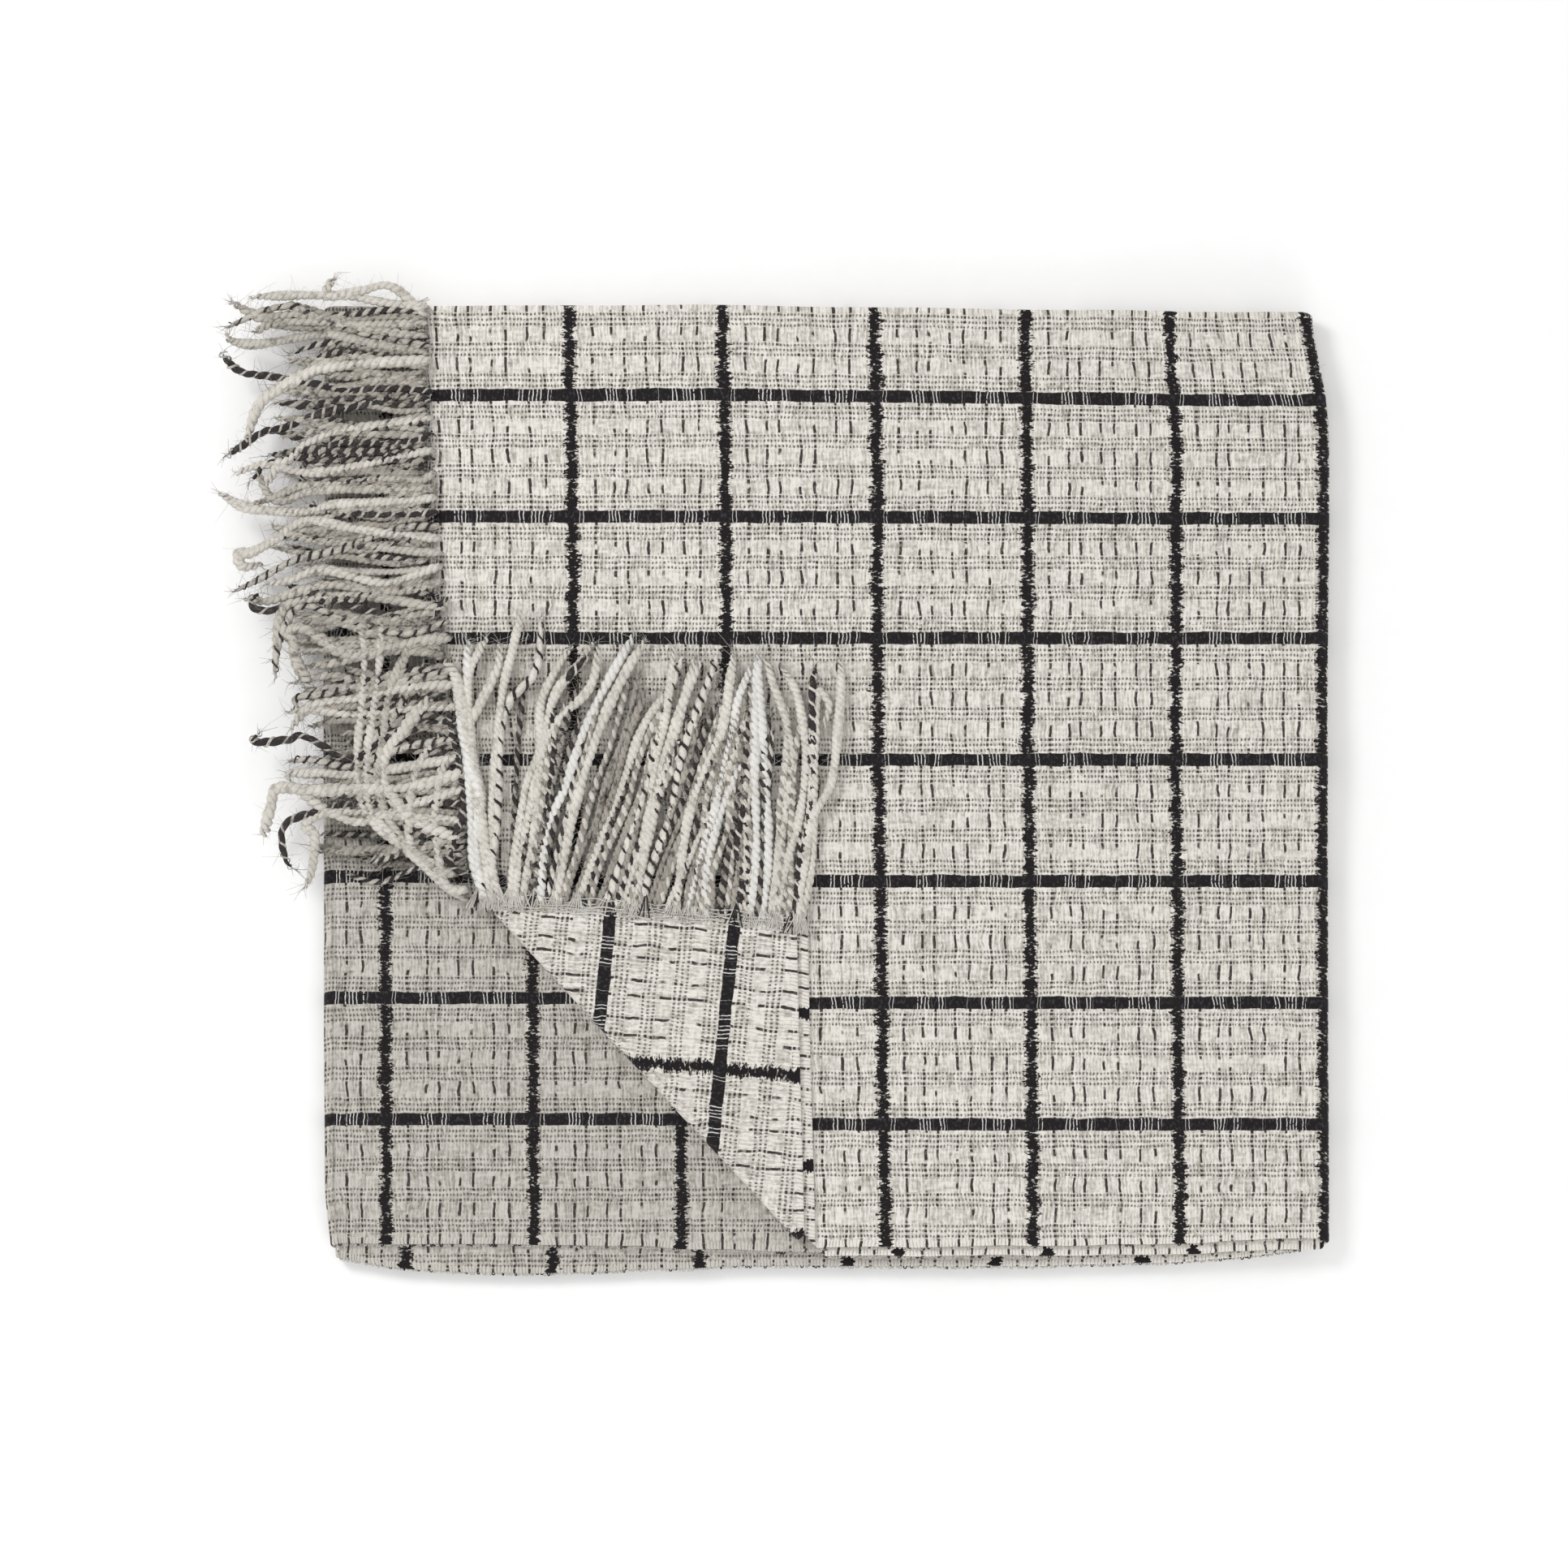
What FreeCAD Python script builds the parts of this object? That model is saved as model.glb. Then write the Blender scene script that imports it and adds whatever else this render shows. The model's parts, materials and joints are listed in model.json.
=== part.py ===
import FreeCAD, Part
import math
import os
import Sketcher

"""Folded throw blanket: a fringed cloth folded in half along its length and then in three, so six
leaves lie on each other, with one corner of the top panel turned back. Leaf by leaf from below:
bottom_lower, bottom_upper, middle_lower, middle_upper, top_lower, top_upper, and over the turned
corner corner_lower, corner_upper. X runs along the cloth, Y towards its folded back edge."""

os.makedirs("parts", exist_ok=True)
doc = FreeCAD.newDocument("throw_blanket")
sheet = doc.addObject("Spreadsheet::Sheet", "Sizes")

SIZES = {
    # cloth and how the leaves stack
    "leaf_thickness": 3.0,
    "leaf_gap": 0.5,
    "turn_inside": 0.25,
    # outline of the folded pile
    "half_length": 375.5,
    "half_depth": 326.7,
    "middle_length": 670.3,
    "bottom_length": 509.5,
    "bottom_lower_front": 316.0,
    "bottom_upper_front": 322.0,
    "middle_lower_front": 326.7,
    "middle_upper_front": 313.0,
    "top_lower_front": 318.0,
    "top_upper_front": 310.0,
    "top_edge_back": 239.4,
    "top_edge_front": 199.0,
    # turned corner: the outermost line of its fold, and the flap's fringed edge and selvedge
    "corner_start_across": -199.7,
    "corner_start_along": -77.1,
    "corner_angle": 47.3,
    "corner_length": 327.0,
    "flap_edge_start_along": -76.0,
    "flap_edge_end_along": -97.0,
    "flap_side": 18.5,
    "flap_under_side": 26.0,
    # fringe
    "tassel_diameter": 6.0,
    "tassel_pitch": 20.7,
    "tassel_gap": 0.4,
    "hidden_tassel_length": 154.0,
    "flap_tassel_length": 178.0,
    "flap_tassel_lean": 20.0,
    "droop_angle": 35.0,
    "droop_bend": 15.0,
}
for row, (alias, value) in enumerate(SIZES.items(), start=1):
    sheet.set(f"A{row}", str(value))
    sheet.setAlias(f"A{row}", alias)
doc.recompute()


def size(alias):
    """The value of a cell, for the parts whose shape is written directly."""
    return float(sheet.get(alias))


def bound(text):
    """An expression in which every alias is read from the spreadsheet."""
    for alias in sorted(SIZES, key=len, reverse=True):
        text = text.replace(f"[{alias}]", f"<<Sizes>>.{alias}")
    return text


# Heights and radii that follow from the cloth's thickness.
LEAF_PITCH = "([leaf_thickness] + [leaf_gap])"
OUTER_TURN = "(2 * [leaf_thickness] + [leaf_gap] + [turn_inside])"
INNER_TURN = "([leaf_thickness] + [turn_inside])"
RIGHT_FOLD_X = f"([half_length] - {OUTER_TURN})"
LEFT_FOLD_X = f"({RIGHT_FOLD_X} - [middle_length])"
BACK_FOLD_Y = f"([half_depth] - {INNER_TURN})"
FIRST_TURN_Z = f"(2 * {LEAF_PITCH} - [leaf_gap] / 2)"
parts = []


def worked_out(text):
    """The number that an expression comes to."""
    for alias in sorted(SIZES, key=len, reverse=True):
        text = text.replace(f"[{alias}]", repr(size(alias)))
    total = doc.addObject("App::FeaturePython", "working")
    total.addProperty("App::PropertyFloat", "Answer")
    total.setExpression("Answer", text)
    doc.recompute()
    answer = total.Answer
    doc.removeObject(total.Name)
    return answer


def keep(shape_object, label):
    """Names an object as one of the blanket's parts."""
    shape_object.Label = label
    parts.append(shape_object)
    return shape_object


def put(shape_object, x="0", y="0", z="0"):
    """Binds where an object stands."""
    for axis, text in zip("xyz", (x, y, z)):
        shape_object.setExpression(f"Placement.Base.{axis}", bound(text))


def leaf_height(level):
    """The underside of a leaf, counted from 0 at the bottom of the pile."""
    return f"({level} * {LEAF_PITCH})"


def plate(name, corners, level):
    """One flat leaf of cloth: a sketched outline, padded to the cloth's thickness."""
    body = doc.addObject("PartDesign::Body", name)
    sketch = body.newObject("Sketcher::SketchObject", f"{name}_outline")
    origin_planes = body.Origin.OriginFeatures
    sketch.AttachmentSupport = [next(p for p in origin_planes if p.Role == "XY_Plane")]
    sketch.MapMode = "FlatFace"
    points = [FreeCAD.Vector(worked_out(x), worked_out(y), 0) for x, y in corners]
    count = len(points)
    for i, point in enumerate(points):
        sketch.addGeometry(Part.LineSegment(point, points[(i + 1) % count]))
    for i, point in enumerate(points):
        sketch.addConstraint(Sketcher.Constraint("Coincident", i, 2, (i + 1) % count, 1))
        across = sketch.addConstraint(Sketcher.Constraint("DistanceX", -1, 1, i, 1, point.x))
        along = sketch.addConstraint(Sketcher.Constraint("DistanceY", -1, 1, i, 1, point.y))
        sketch.setExpression(f"Constraints[{across}]", bound(corners[i][0]))
        sketch.setExpression(f"Constraints[{along}]", bound(corners[i][1]))
    pad = body.newObject("PartDesign::Pad", f"{name}_pad")
    pad.Profile = sketch
    pad.setExpression("Length", bound("[leaf_thickness]"))
    put(body, z=leaf_height(level))
    return body


def half_tube(name, outside, axis_way, bulge_way, length):
    """A leaf turning back on itself: half of a tube along axis_way, bulging towards bulge_way."""
    halves = []
    for role, radius in (("outside", outside), ("inside", f"({outside} - [leaf_thickness])")):
        half = doc.addObject("Part::Cylinder", f"{name}_{role}")
        half.setExpression("Radius", bound(radius))
        half.setExpression("Height", bound(length))
        half.Angle = 180 if role == "outside" else 360
        halves.append(half)
    turn = doc.addObject("Part::Cut", name)
    turn.Base, turn.Tool = halves
    upright = bulge_way.cross(axis_way)
    turn.Placement.Rotation = FreeCAD.Rotation(upright, bulge_way, axis_way, "ZXY")
    return turn


def panel(name, level, left, right, fronts):
    """A doubled panel between two X positions: two leaves and the fold that joins them at the back."""
    for half, front, step in (("lower", fronts[0], 0), ("upper", fronts[1], 1)):
        corners = [(left, f"-{front}"), (right, f"-{front}"), (right, BACK_FOLD_Y), (left, BACK_FOLD_Y)]
        keep(plate(f"{name}_{half}", corners, level + step), f"{name}_{half}_leaf")
    back_fold(name, level, left, right)


def back_fold(name, level, left, right):
    """The turn along the back edge, from a panel's lower leaf up to its upper one."""
    along_x, to_back = FreeCAD.Vector(1, 0, 0), FreeCAD.Vector(0, 1, 0)
    turn = half_tube(f"{name}_back", INNER_TURN, along_x, to_back, f"{right} - {left}")
    put(turn, left, BACK_FOLD_Y, f"{leaf_height(level)} + {INNER_TURN}")
    keep(turn, f"{name}_back_fold")


def cross_fold(name, x, level, bulge, fronts):
    """The two strips that turn over at a cross fold: fronts gives the inner and the outer front edge."""
    to_back, out = FreeCAD.Vector(0, 1, 0), FreeCAD.Vector(bulge, 0, 0)
    for strip, outside, front in (("inner", INNER_TURN, fronts[0]), ("outer", OUTER_TURN, fronts[1])):
        turn = half_tube(f"{name}_{strip}_turn", outside, to_back, out, f"{BACK_FOLD_Y} + {front}")
        put(turn, x, f"-{front}", f"{leaf_height(level)} + {FIRST_TURN_Z}")
        keep(turn, f"{name}_{strip}")


# The turned corner's fold, as a direction along it and the way that it bulges.
turn_angle = math.radians(size("corner_angle"))
fold_way = FreeCAD.Vector(math.cos(turn_angle), -math.sin(turn_angle), 0)
bulge_way = FreeCAD.Vector(-math.sin(turn_angle), -math.cos(turn_angle), 0)
# The line where the flat leaves end and the turn begins lies one outer radius inside the fold.
TURN_LINE_X = f"([corner_start_across] + {OUTER_TURN} * sin([corner_angle] * 1deg))"
TURN_LINE_Y = f"([corner_start_along] + {OUTER_TURN} * cos([corner_angle] * 1deg))"


def beyond_corner(name):
    """A slab over everything on the far side of the turned corner's turn line."""
    slab = doc.addObject("Part::Box", name)
    reach, overrun, tall = 400, 150, 60
    slab.Length, slab.Width, slab.Height = 2 * reach, reach, tall
    slab.Placement.Rotation = FreeCAD.Rotation(FreeCAD.Vector(0, 0, 1), -size("corner_angle"))
    start = fold_way * -overrun + bulge_way * reach
    put(slab, f"{TURN_LINE_X} + {start.x}", f"{TURN_LINE_Y} + {start.y}", "-10")
    return slab


def trimmed(name, corners, level, label):
    """A leaf cut off along the turned corner's turn line."""
    cut = doc.addObject("Part::Cut", name)
    cut.Base, cut.Tool = plate(f"{name}_whole", corners, level), beyond_corner(f"{name}_cutter")
    keep(cut, label)


def compound(label, links):
    """Several like pieces, such as the tassels of one edge, as one part."""
    group = doc.addObject("Part::Compound", label)
    group.Links = links
    keep(group, label)


def rod(name, x, y, z, way, length):
    """One straight tassel from a point, along a direction."""
    tassel = doc.addObject("Part::Cylinder", name)
    tassel.setExpression("Radius", bound("[tassel_diameter] / 2"))
    tassel.setExpression("Height", bound(length))
    tassel.Placement.Rotation = FreeCAD.Rotation(FreeCAD.Vector(0, 0, 1), way)
    put(tassel, x, y, z)
    return tassel


def fringe_name(prefix, number):
    """In each leaf every fourth tassel takes the ends of a dark stripe; neighbours are of two leaves."""
    if number % 8 in (2, 3):
        return f"{prefix}_stripe_fringe"
    return f"{prefix}_{'upper' if number % 2 else 'lower'}_fringe"


# Bottom and middle panels, with the fold that joins them at the left.
BOTTOM_END = f"({LEFT_FOLD_X} + [bottom_length])"
panel("bottom", 0, LEFT_FOLD_X, BOTTOM_END, ("[bottom_lower_front]", "[bottom_upper_front]"))
cross_fold("left_fold", LEFT_FOLD_X, 0, -1, ("[bottom_upper_front]", "[middle_upper_front]"))
panel("middle", 2, LEFT_FOLD_X, RIGHT_FOLD_X, ("[middle_lower_front]", "[middle_upper_front]"))

# Top panel, whose front left corner is turned back, and its fold at the right.
for half, level in (("lower", 4), ("upper", 5)):
    front = f"-[top_{half}_front]"
    outline = [
        ("-[top_edge_front]", front),
        (RIGHT_FOLD_X, front),
        (RIGHT_FOLD_X, BACK_FOLD_Y),
        ("-[top_edge_back]", BACK_FOLD_Y),
    ]
    trimmed(f"top_{half}", outline, level, f"top_{half}_leaf")
back_fold("top", 4, "-[top_edge_back]", RIGHT_FOLD_X)
cross_fold("right_fold", RIGHT_FOLD_X, 2, 1, ("[middle_upper_front]", "[top_upper_front]"))

# The flap: both leaves of the corner lie upside down on the top panel.
for half, side, level in (("lower", "[flap_under_side]", 6), ("upper", "[flap_side]", 7)):
    outline = [
        ("[corner_start_across] - 30", "[flap_edge_start_along]"),
        (side, "-[half_depth]"),
        (side, "[flap_edge_end_along]"),
    ]
    trimmed(f"corner_{half}", outline, level, f"corner_{half}_leaf")
for strip, outside in (("inner", INNER_TURN), ("outer", OUTER_TURN)):
    turn = half_tube(f"corner_{strip}_turn", outside, fold_way, bulge_way, "[corner_length] - 24")
    start = fold_way * 12
    height = f"{leaf_height(4)} + {FIRST_TURN_Z}"
    put(turn, f"{TURN_LINE_X} + {start.x}", f"{TURN_LINE_Y} + {start.y}", height)
    keep(turn, f"corner_fold_{strip}")

# Fringe of the hidden end, lying under the right side of the pile.
groups = {}
cloth_depth = 2 * size("half_depth")
for number in range(int((cloth_depth - 30) / (size("tassel_pitch") / 2))):
    y = f"-[half_depth] + 20 + {number} * [tassel_pitch] / 2"
    lying = rod(f"hidden_{number}", f"{BOTTOM_END} + 0.2", y, "[tassel_diameter] / 2 + 0.1",
                FreeCAD.Vector(1, 0, 0), "[hidden_tassel_length]")
    groups.setdefault(fringe_name("bottom", number), []).append(lying)

# Fringe of the flap, lying on the top panel and leaning to the right.
lean = math.radians(size("flap_tassel_lean"))
lean_way = FreeCAD.Vector(math.sin(lean), math.cos(lean), 0)
EDGE_RUN = "([flap_side] - [corner_start_across])"
EDGE_DROP = "([flap_edge_end_along] - [flap_edge_start_along])"
for number in range(20):
    share = f"(({number} + 1.3) * [tassel_pitch] / 2 / {EDGE_RUN})"
    x = f"[corner_start_across] + {share} * {EDGE_RUN} + 0.7"
    y = f"[flap_edge_start_along] + {share} * {EDGE_DROP} + 2"
    z = f"{leaf_height(6)} - [leaf_gap] + [tassel_gap] + [tassel_diameter] / 2"
    tassel = rod(f"flap_{number}", x, y, z, lean_way, "[flap_tassel_length]")
    groups.setdefault(fringe_name("corner", number), []).append(tassel)
for label, rods in groups.items():
    compound(label, rods)


def drooping_tassel(x_edge, y):
    """A tassel from the top panel's edge over the middle panel and the left fold, down to the floor."""
    radius = size("tassel_diameter") / 2
    left_fold_x, over = worked_out(LEFT_FOLD_X), worked_out(OUTER_TURN)
    droop, bend = math.radians(size("droop_angle")), size("droop_bend")
    top_z = worked_out(leaf_height(4)) - size("leaf_gap") + size("tassel_gap") + radius
    low_z = radius + size("tassel_gap")
    over += size("tassel_gap") + radius
    fall = top_z - low_z - (over + bend) * (1 - math.cos(droop))
    steep = FreeCAD.Vector(-math.cos(droop), 0, -math.sin(droop))

    def on_arc(centre, reach, angle):
        return centre + FreeCAD.Vector(-math.sin(angle), 0, math.cos(angle)) * reach

    first_centre = FreeCAD.Vector(left_fold_x, y, top_z - over)
    leaves_top = on_arc(first_centre, over, 0)
    starts_steep = on_arc(first_centre, over, droop)
    ends_steep = starts_steep + steep * (fall / math.sin(droop))
    second_centre = ends_steep + FreeCAD.Vector(-math.sin(droop), 0, math.cos(droop)) * bend
    reaches_floor = FreeCAD.Vector(second_centre.x, y, second_centre.z - bend)
    path = Part.Wire([
        Part.LineSegment(FreeCAD.Vector(x_edge, y, top_z), leaves_top).toShape(),
        Part.Arc(leaves_top, on_arc(first_centre, over, droop / 2), starts_steep).toShape(),
        Part.LineSegment(starts_steep, ends_steep).toShape(),
        Part.Arc(ends_steep, on_arc(second_centre, -bend, droop / 2), reaches_floor).toShape(),
        Part.LineSegment(reaches_floor, FreeCAD.Vector(-size("half_length"), y, low_z)).toShape(),
    ])
    ring = Part.Circle(FreeCAD.Vector(x_edge, y, top_z), FreeCAD.Vector(-1, 0, 0), radius)
    return path.makePipe(Part.Face(Part.Wire(ring.toShape())))


# Fringe of the top panel, drooping over the left side of the pile.
first_y = size("corner_start_along") + 9
edge_slope = (size("top_edge_back") - size("top_edge_front")) / cloth_depth
groups = {}
for number in range(int((size("half_depth") - 6 - first_y) / (size("tassel_pitch") / 2)) + 1):
    y = first_y + number * size("tassel_pitch") / 2
    x_edge = -size("top_edge_front") - edge_slope * (y + size("half_depth")) - 0.8
    groups.setdefault(fringe_name("top", number), []).append(drooping_tassel(x_edge, y))
for label, tubes in groups.items():
    fringe = doc.addObject("Part::Feature", label)
    fringe.Shape = Part.Compound(tubes)
    fringe.Placement = FreeCAD.Placement()
    keep(fringe, label)

doc.recompute()
for checked in doc.Objects:
    if "Invalid" in checked.State or "Error" in checked.State:
        raise RuntimeError(f"{checked.Label} failed: {checked.State}")
for part in parts:
    if part.Shape.isNull() or not part.Shape.isValid():
        raise RuntimeError(f"{part.Label} has no valid shape")
    part.Shape.exportStep(f"parts/{part.Label}.step")
whole = Part.Compound([part.Shape for part in parts]).BoundBox
print(f"{len(parts)} parts, X {whole.XMin:.2f} to {whole.XMax:.2f}, Y {whole.YMin:.2f} to "
      f"{whole.YMax:.2f}, Z {whole.ZMin:.2f} to {whole.ZMax:.2f}")
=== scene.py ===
import json
import math

import bmesh
import bpy
import numpy as np
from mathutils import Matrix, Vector


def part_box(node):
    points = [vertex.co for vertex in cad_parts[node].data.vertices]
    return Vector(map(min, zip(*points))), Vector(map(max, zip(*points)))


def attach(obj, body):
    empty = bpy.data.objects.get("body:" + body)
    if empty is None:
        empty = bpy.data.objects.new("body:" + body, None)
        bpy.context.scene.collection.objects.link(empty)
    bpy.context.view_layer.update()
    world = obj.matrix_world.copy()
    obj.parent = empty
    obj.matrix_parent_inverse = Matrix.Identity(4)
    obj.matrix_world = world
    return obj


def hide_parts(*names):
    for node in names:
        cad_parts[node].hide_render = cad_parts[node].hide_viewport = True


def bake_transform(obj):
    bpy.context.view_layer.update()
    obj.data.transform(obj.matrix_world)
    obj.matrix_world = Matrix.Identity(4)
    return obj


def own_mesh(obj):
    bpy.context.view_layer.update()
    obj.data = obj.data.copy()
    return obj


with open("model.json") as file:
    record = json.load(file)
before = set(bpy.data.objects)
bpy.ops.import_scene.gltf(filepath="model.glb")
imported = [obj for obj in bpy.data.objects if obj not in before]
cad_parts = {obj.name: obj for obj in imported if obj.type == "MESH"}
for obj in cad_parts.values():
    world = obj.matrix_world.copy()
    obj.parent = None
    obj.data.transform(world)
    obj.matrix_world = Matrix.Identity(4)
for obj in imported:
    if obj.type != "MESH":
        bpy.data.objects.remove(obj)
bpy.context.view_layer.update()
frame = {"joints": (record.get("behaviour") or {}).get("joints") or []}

MM = 0.001

# ---- what the frame says


def low(node):
    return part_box(node)[0]


def high(node):
    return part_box(node)[1]


def middle_z(node):
    return (low(node).z + high(node).z) / 2


JOINTS = {joint["name"]: joint for joint in frame["joints"]}
LEAF = 3.0 * MM            # the thickness of the cloth
LEFT_TURN_X = low("middle_lower_leaf").x
RIGHT_TURN_X = high("middle_lower_leaf").x
BACK_TURN_Y = high("middle_lower_leaf").y
BOTTOM_END_X = high("bottom_lower_leaf").x
INNER_RADIUS = 1.75 * MM    # of a fold between two leaves that touch, at the middle of the cloth
OUTER_RADIUS = 5.25 * MM    # of the fold that goes round them
LEVEL = {
    leaf: middle_z(f"{leaf}_leaf")
    for leaf in (
        "bottom_lower", "bottom_upper", "middle_lower", "middle_upper",
        "top_lower", "top_upper", "corner_lower", "corner_upper",
    )
}
LEFT_AXIS_Z = JOINTS["left_fold"]["pos_m"][2]
RIGHT_AXIS_Z = JOINTS["right_fold"]["pos_m"][2]
CORNER_AXIS_Z = JOINTS["corner_fold"]["pos_m"][2]

# The turned corner: its joint's line, and the turn line where the flat leaves end.
CORNER_WAY = np.array(JOINTS["corner_fold"]["axis"][:2], float)
CORNER_WAY /= np.linalg.norm(CORNER_WAY)
CORNER_OUT = np.array([CORNER_WAY[1], -CORNER_WAY[0]])
TURN_START = np.array(JOINTS["corner_fold"]["pos_m"][:2]) - CORNER_OUT * (INNER_RADIUS + LEAF / 2)

# ---- small helpers


def smooth(value, start, end):
    """0 before start, 1 after end, and an S between them."""
    t = np.clip((np.asarray(value, float) - start) / (end - start), 0, 1)
    return t * t * (3 - 2 * t)


def curve_through(value, places, heights):
    """A smooth curve through a few given points, read at value."""
    value = np.asarray(value, float)
    places, heights = np.array(places, float), np.array(heights, float)
    slopes = np.gradient(heights, places)
    i = np.clip(np.searchsorted(places, value) - 1, 0, len(places) - 2)
    span = places[i + 1] - places[i]
    t = np.clip((value - places[i]) / span, 0, 1)
    return (
        heights[i] * (1 + 2 * t) * (1 - t) ** 2
        + slopes[i] * span * t * (1 - t) ** 2
        + heights[i + 1] * t * t * (3 - 2 * t)
        - slopes[i + 1] * span * t * t * (1 - t)
    )


def ripple(x, y, seed, size):
    """Smooth seeded waves between about -1 and 1, with bumps of about the given size."""
    chance = np.random.default_rng(seed)
    total = np.zeros_like(np.asarray(x, float) + np.asarray(y, float))
    for _ in range(7):
        angle, phase = chance.uniform(0, 2 * math.pi, 2)
        wave = 2 * math.pi / (size * chance.uniform(1.2, 2.6))
        total += np.sin(wave * (x * math.cos(angle) + y * math.sin(angle)) + phase)
    return total / 3.2


# ---- how the cloth lies


def fringe_edge_x(y):
    """The fringed edge of the top panel, which wanders to the right towards the front."""
    return curve_through(
        y,
        [-0.110, -0.077, 0.000, 0.060, 0.120, 0.180, 0.250, 0.327],
        [-0.1945, -0.2010, -0.2120, -0.2205, -0.2320, -0.2375, -0.2390, -0.2405],
    )


# Each leaf's front edge: places along x, and the edge's y there.
FRONT = {
    "bottom_lower": ([-0.31, 0.21], [-0.3165, -0.3160]),
    "bottom_upper": ([-0.31, 0.21], [-0.3215, -0.3220]),
    "middle_lower": (
        [-0.31, -0.27, 0.00, 0.22, 0.30, 0.38],
        [-0.3200, -0.3262, -0.3265, -0.3255, -0.3220, -0.3130],
    ),
    "middle_upper": ([-0.31, -0.15, 0.10, 0.38], [-0.3110, -0.3120, -0.3185, -0.3120]),
    "top_lower": ([-0.05, 0.10, 0.25, 0.38], [-0.3200, -0.3190, -0.3180, -0.3140]),
    "top_upper": ([-0.05, 0.10, 0.25, 0.38], [-0.3140, -0.3125, -0.3105, -0.3060]),
}


def front_y(leaf, x):
    """A leaf's front edge, which is a selvedge: nearly straight, with slight waves of its own."""
    places, heights = FRONT[leaf]
    x = np.clip(np.asarray(x, float), places[0], places[-1])
    wave = ripple(x, 0 * x, len(leaf) + ord(leaf[0]), 0.030) * 0.5 * MM
    return curve_through(x, places, heights) + wave


BACK_CORNER_IN, BACK_SLANT, FRONT_CORNER_IN = 0.0110, 0.0045, 0.0040
MEAN_SWELL, SLOW_SWELL, FINE_SWELL = 0.055, 0.060, 0.020    # shares of the height
SWELL_LIMITS = (-0.02, 0.16)


def settle(points):
    """Moves the tidy folded pile to how it really lies: rounded back corner, slanted back edge, waves."""
    x, y, z = points[..., 0], points[..., 1], points[..., 2]
    right = smooth(x, 0.20, RIGHT_TURN_X)
    back = smooth(y, 0.215, BACK_TURN_Y + 0.004)
    moved = points.copy()
    moved[..., 0] += -BACK_CORNER_IN * right * back ** 2 + ripple(0 * x, y, 4, 0.10) * 0.7 * MM
    moved[..., 1] += -BACK_SLANT * smooth(x, -0.05, RIGHT_TURN_X) * smooth(y, 0.10, BACK_TURN_Y)
    moved[..., 1] += ripple(x, 0 * y, 5, 0.09) * 0.5 * MM * smooth(y, 0.2, BACK_TURN_Y)
    left_corner = smooth(-x, 0.28, -LEFT_TURN_X + OUTER_RADIUS) * smooth(-y, 0.27, 0.32)
    moved[..., 0] += FRONT_CORNER_IN * left_corner
    swell = MEAN_SWELL + SLOW_SWELL * ripple(x, y, 11, 0.075) + FINE_SWELL * ripple(x, y, 12, 0.022)
    moved[..., 2] = z * (1 + np.clip(swell, *SWELL_LIMITS))
    return moved


# ---- the check, in cloth coordinates

WEFT_CELL = 0.10165    # from one dark weft stripe to the next, along the warp
WARP_CELL = 0.08248    # from one dark warp stripe to the next, along the weft
FIRST_STRIPE_Y = 0.2656


TOP_FIRST_X, TOP_FIRST_LEAN = -0.1413, 0.0110      # the top panel's first dark weft stripe
TOP_PITCH, TOP_PITCH_LEAN, TOP_STRETCH = 0.10496, 0.00193, 0.00525
TOP_LOWER_SHIFT = 0.0094
MIDDLE_PITCH = 0.1003
MIDDLE_UPPER_X, MIDDLE_LOWER_X = -0.2658, -0.2526
# the flap's stripes: a point on each, how much it leans, and its scale
FLAP_WEFT, FLAP_WARP = (-0.0420, -0.1906, 0.085, 0.930), (-0.0284, -0.0942, 0.100, 0.975)


def cloth_top_upper(x, y, shift=0.0):
    lean = (BACK_TURN_Y - y) / (2 * BACK_TURN_Y)
    first = TOP_FIRST_X + TOP_FIRST_LEAN * lean + shift
    pitch = TOP_PITCH - TOP_PITCH_LEAN * lean
    stripes = (x - first) / pitch
    return stripes * (1 + TOP_STRETCH * stripes) * WEFT_CELL, FIRST_STRIPE_Y - y


def cloth_top_lower(x, y):
    return cloth_top_upper(x, y, TOP_LOWER_SHIFT)


def cloth_middle_upper(x, y):
    return (x - MIDDLE_UPPER_X) * WEFT_CELL / MIDDLE_PITCH, FIRST_STRIPE_Y + 0.0030 - y


def cloth_middle_lower(x, y):
    return (x - MIDDLE_LOWER_X) * WEFT_CELL / MIDDLE_PITCH, FIRST_STRIPE_Y - y


def past_left_turn(cloth):
    """The coordinates of the bottom leaf that continues a middle leaf round the left fold."""
    at_turn = cloth(LEFT_TURN_X, 0)[0]

    def mirrored(x, y):
        u, v = cloth(x, y)
        return 2 * at_turn - u, v

    return mirrored


def cloth_corner_lower(x, y):
    """The flap's under leaf continues the top leaf, mirrored in the turned corner's fold."""
    away = (x - TURN_START[0]) * CORNER_OUT[0] + (y - TURN_START[1]) * CORNER_OUT[1]
    return cloth_top_upper(x - 2 * away * CORNER_OUT[0], y - 2 * away * CORNER_OUT[1])


def cloth_corner_upper(x, y):
    weft_x, weft_y, weft_lean, weft_scale = FLAP_WEFT
    warp_x, warp_y, warp_lean, warp_scale = FLAP_WARP
    u = (weft_y - weft_lean * (x - weft_x) - y) * weft_scale
    v = (x - warp_x - warp_lean * (y - warp_y)) * warp_scale
    return u, v


CLOTH = {
    "top_upper": cloth_top_upper,
    "top_lower": cloth_top_lower,
    "middle_upper": cloth_middle_upper,
    "middle_lower": cloth_middle_lower,
    "bottom_upper": past_left_turn(cloth_middle_lower),
    "bottom_lower": past_left_turn(cloth_middle_upper),
    "corner_lower": cloth_corner_lower,
    "corner_upper": cloth_corner_upper,
}

# ---- sheets as grids of points

GRID = 5.0 * MM
EDGE_STEPS = (0.0, 0.35 * MM, 0.9 * MM, 1.8 * MM)


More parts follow.
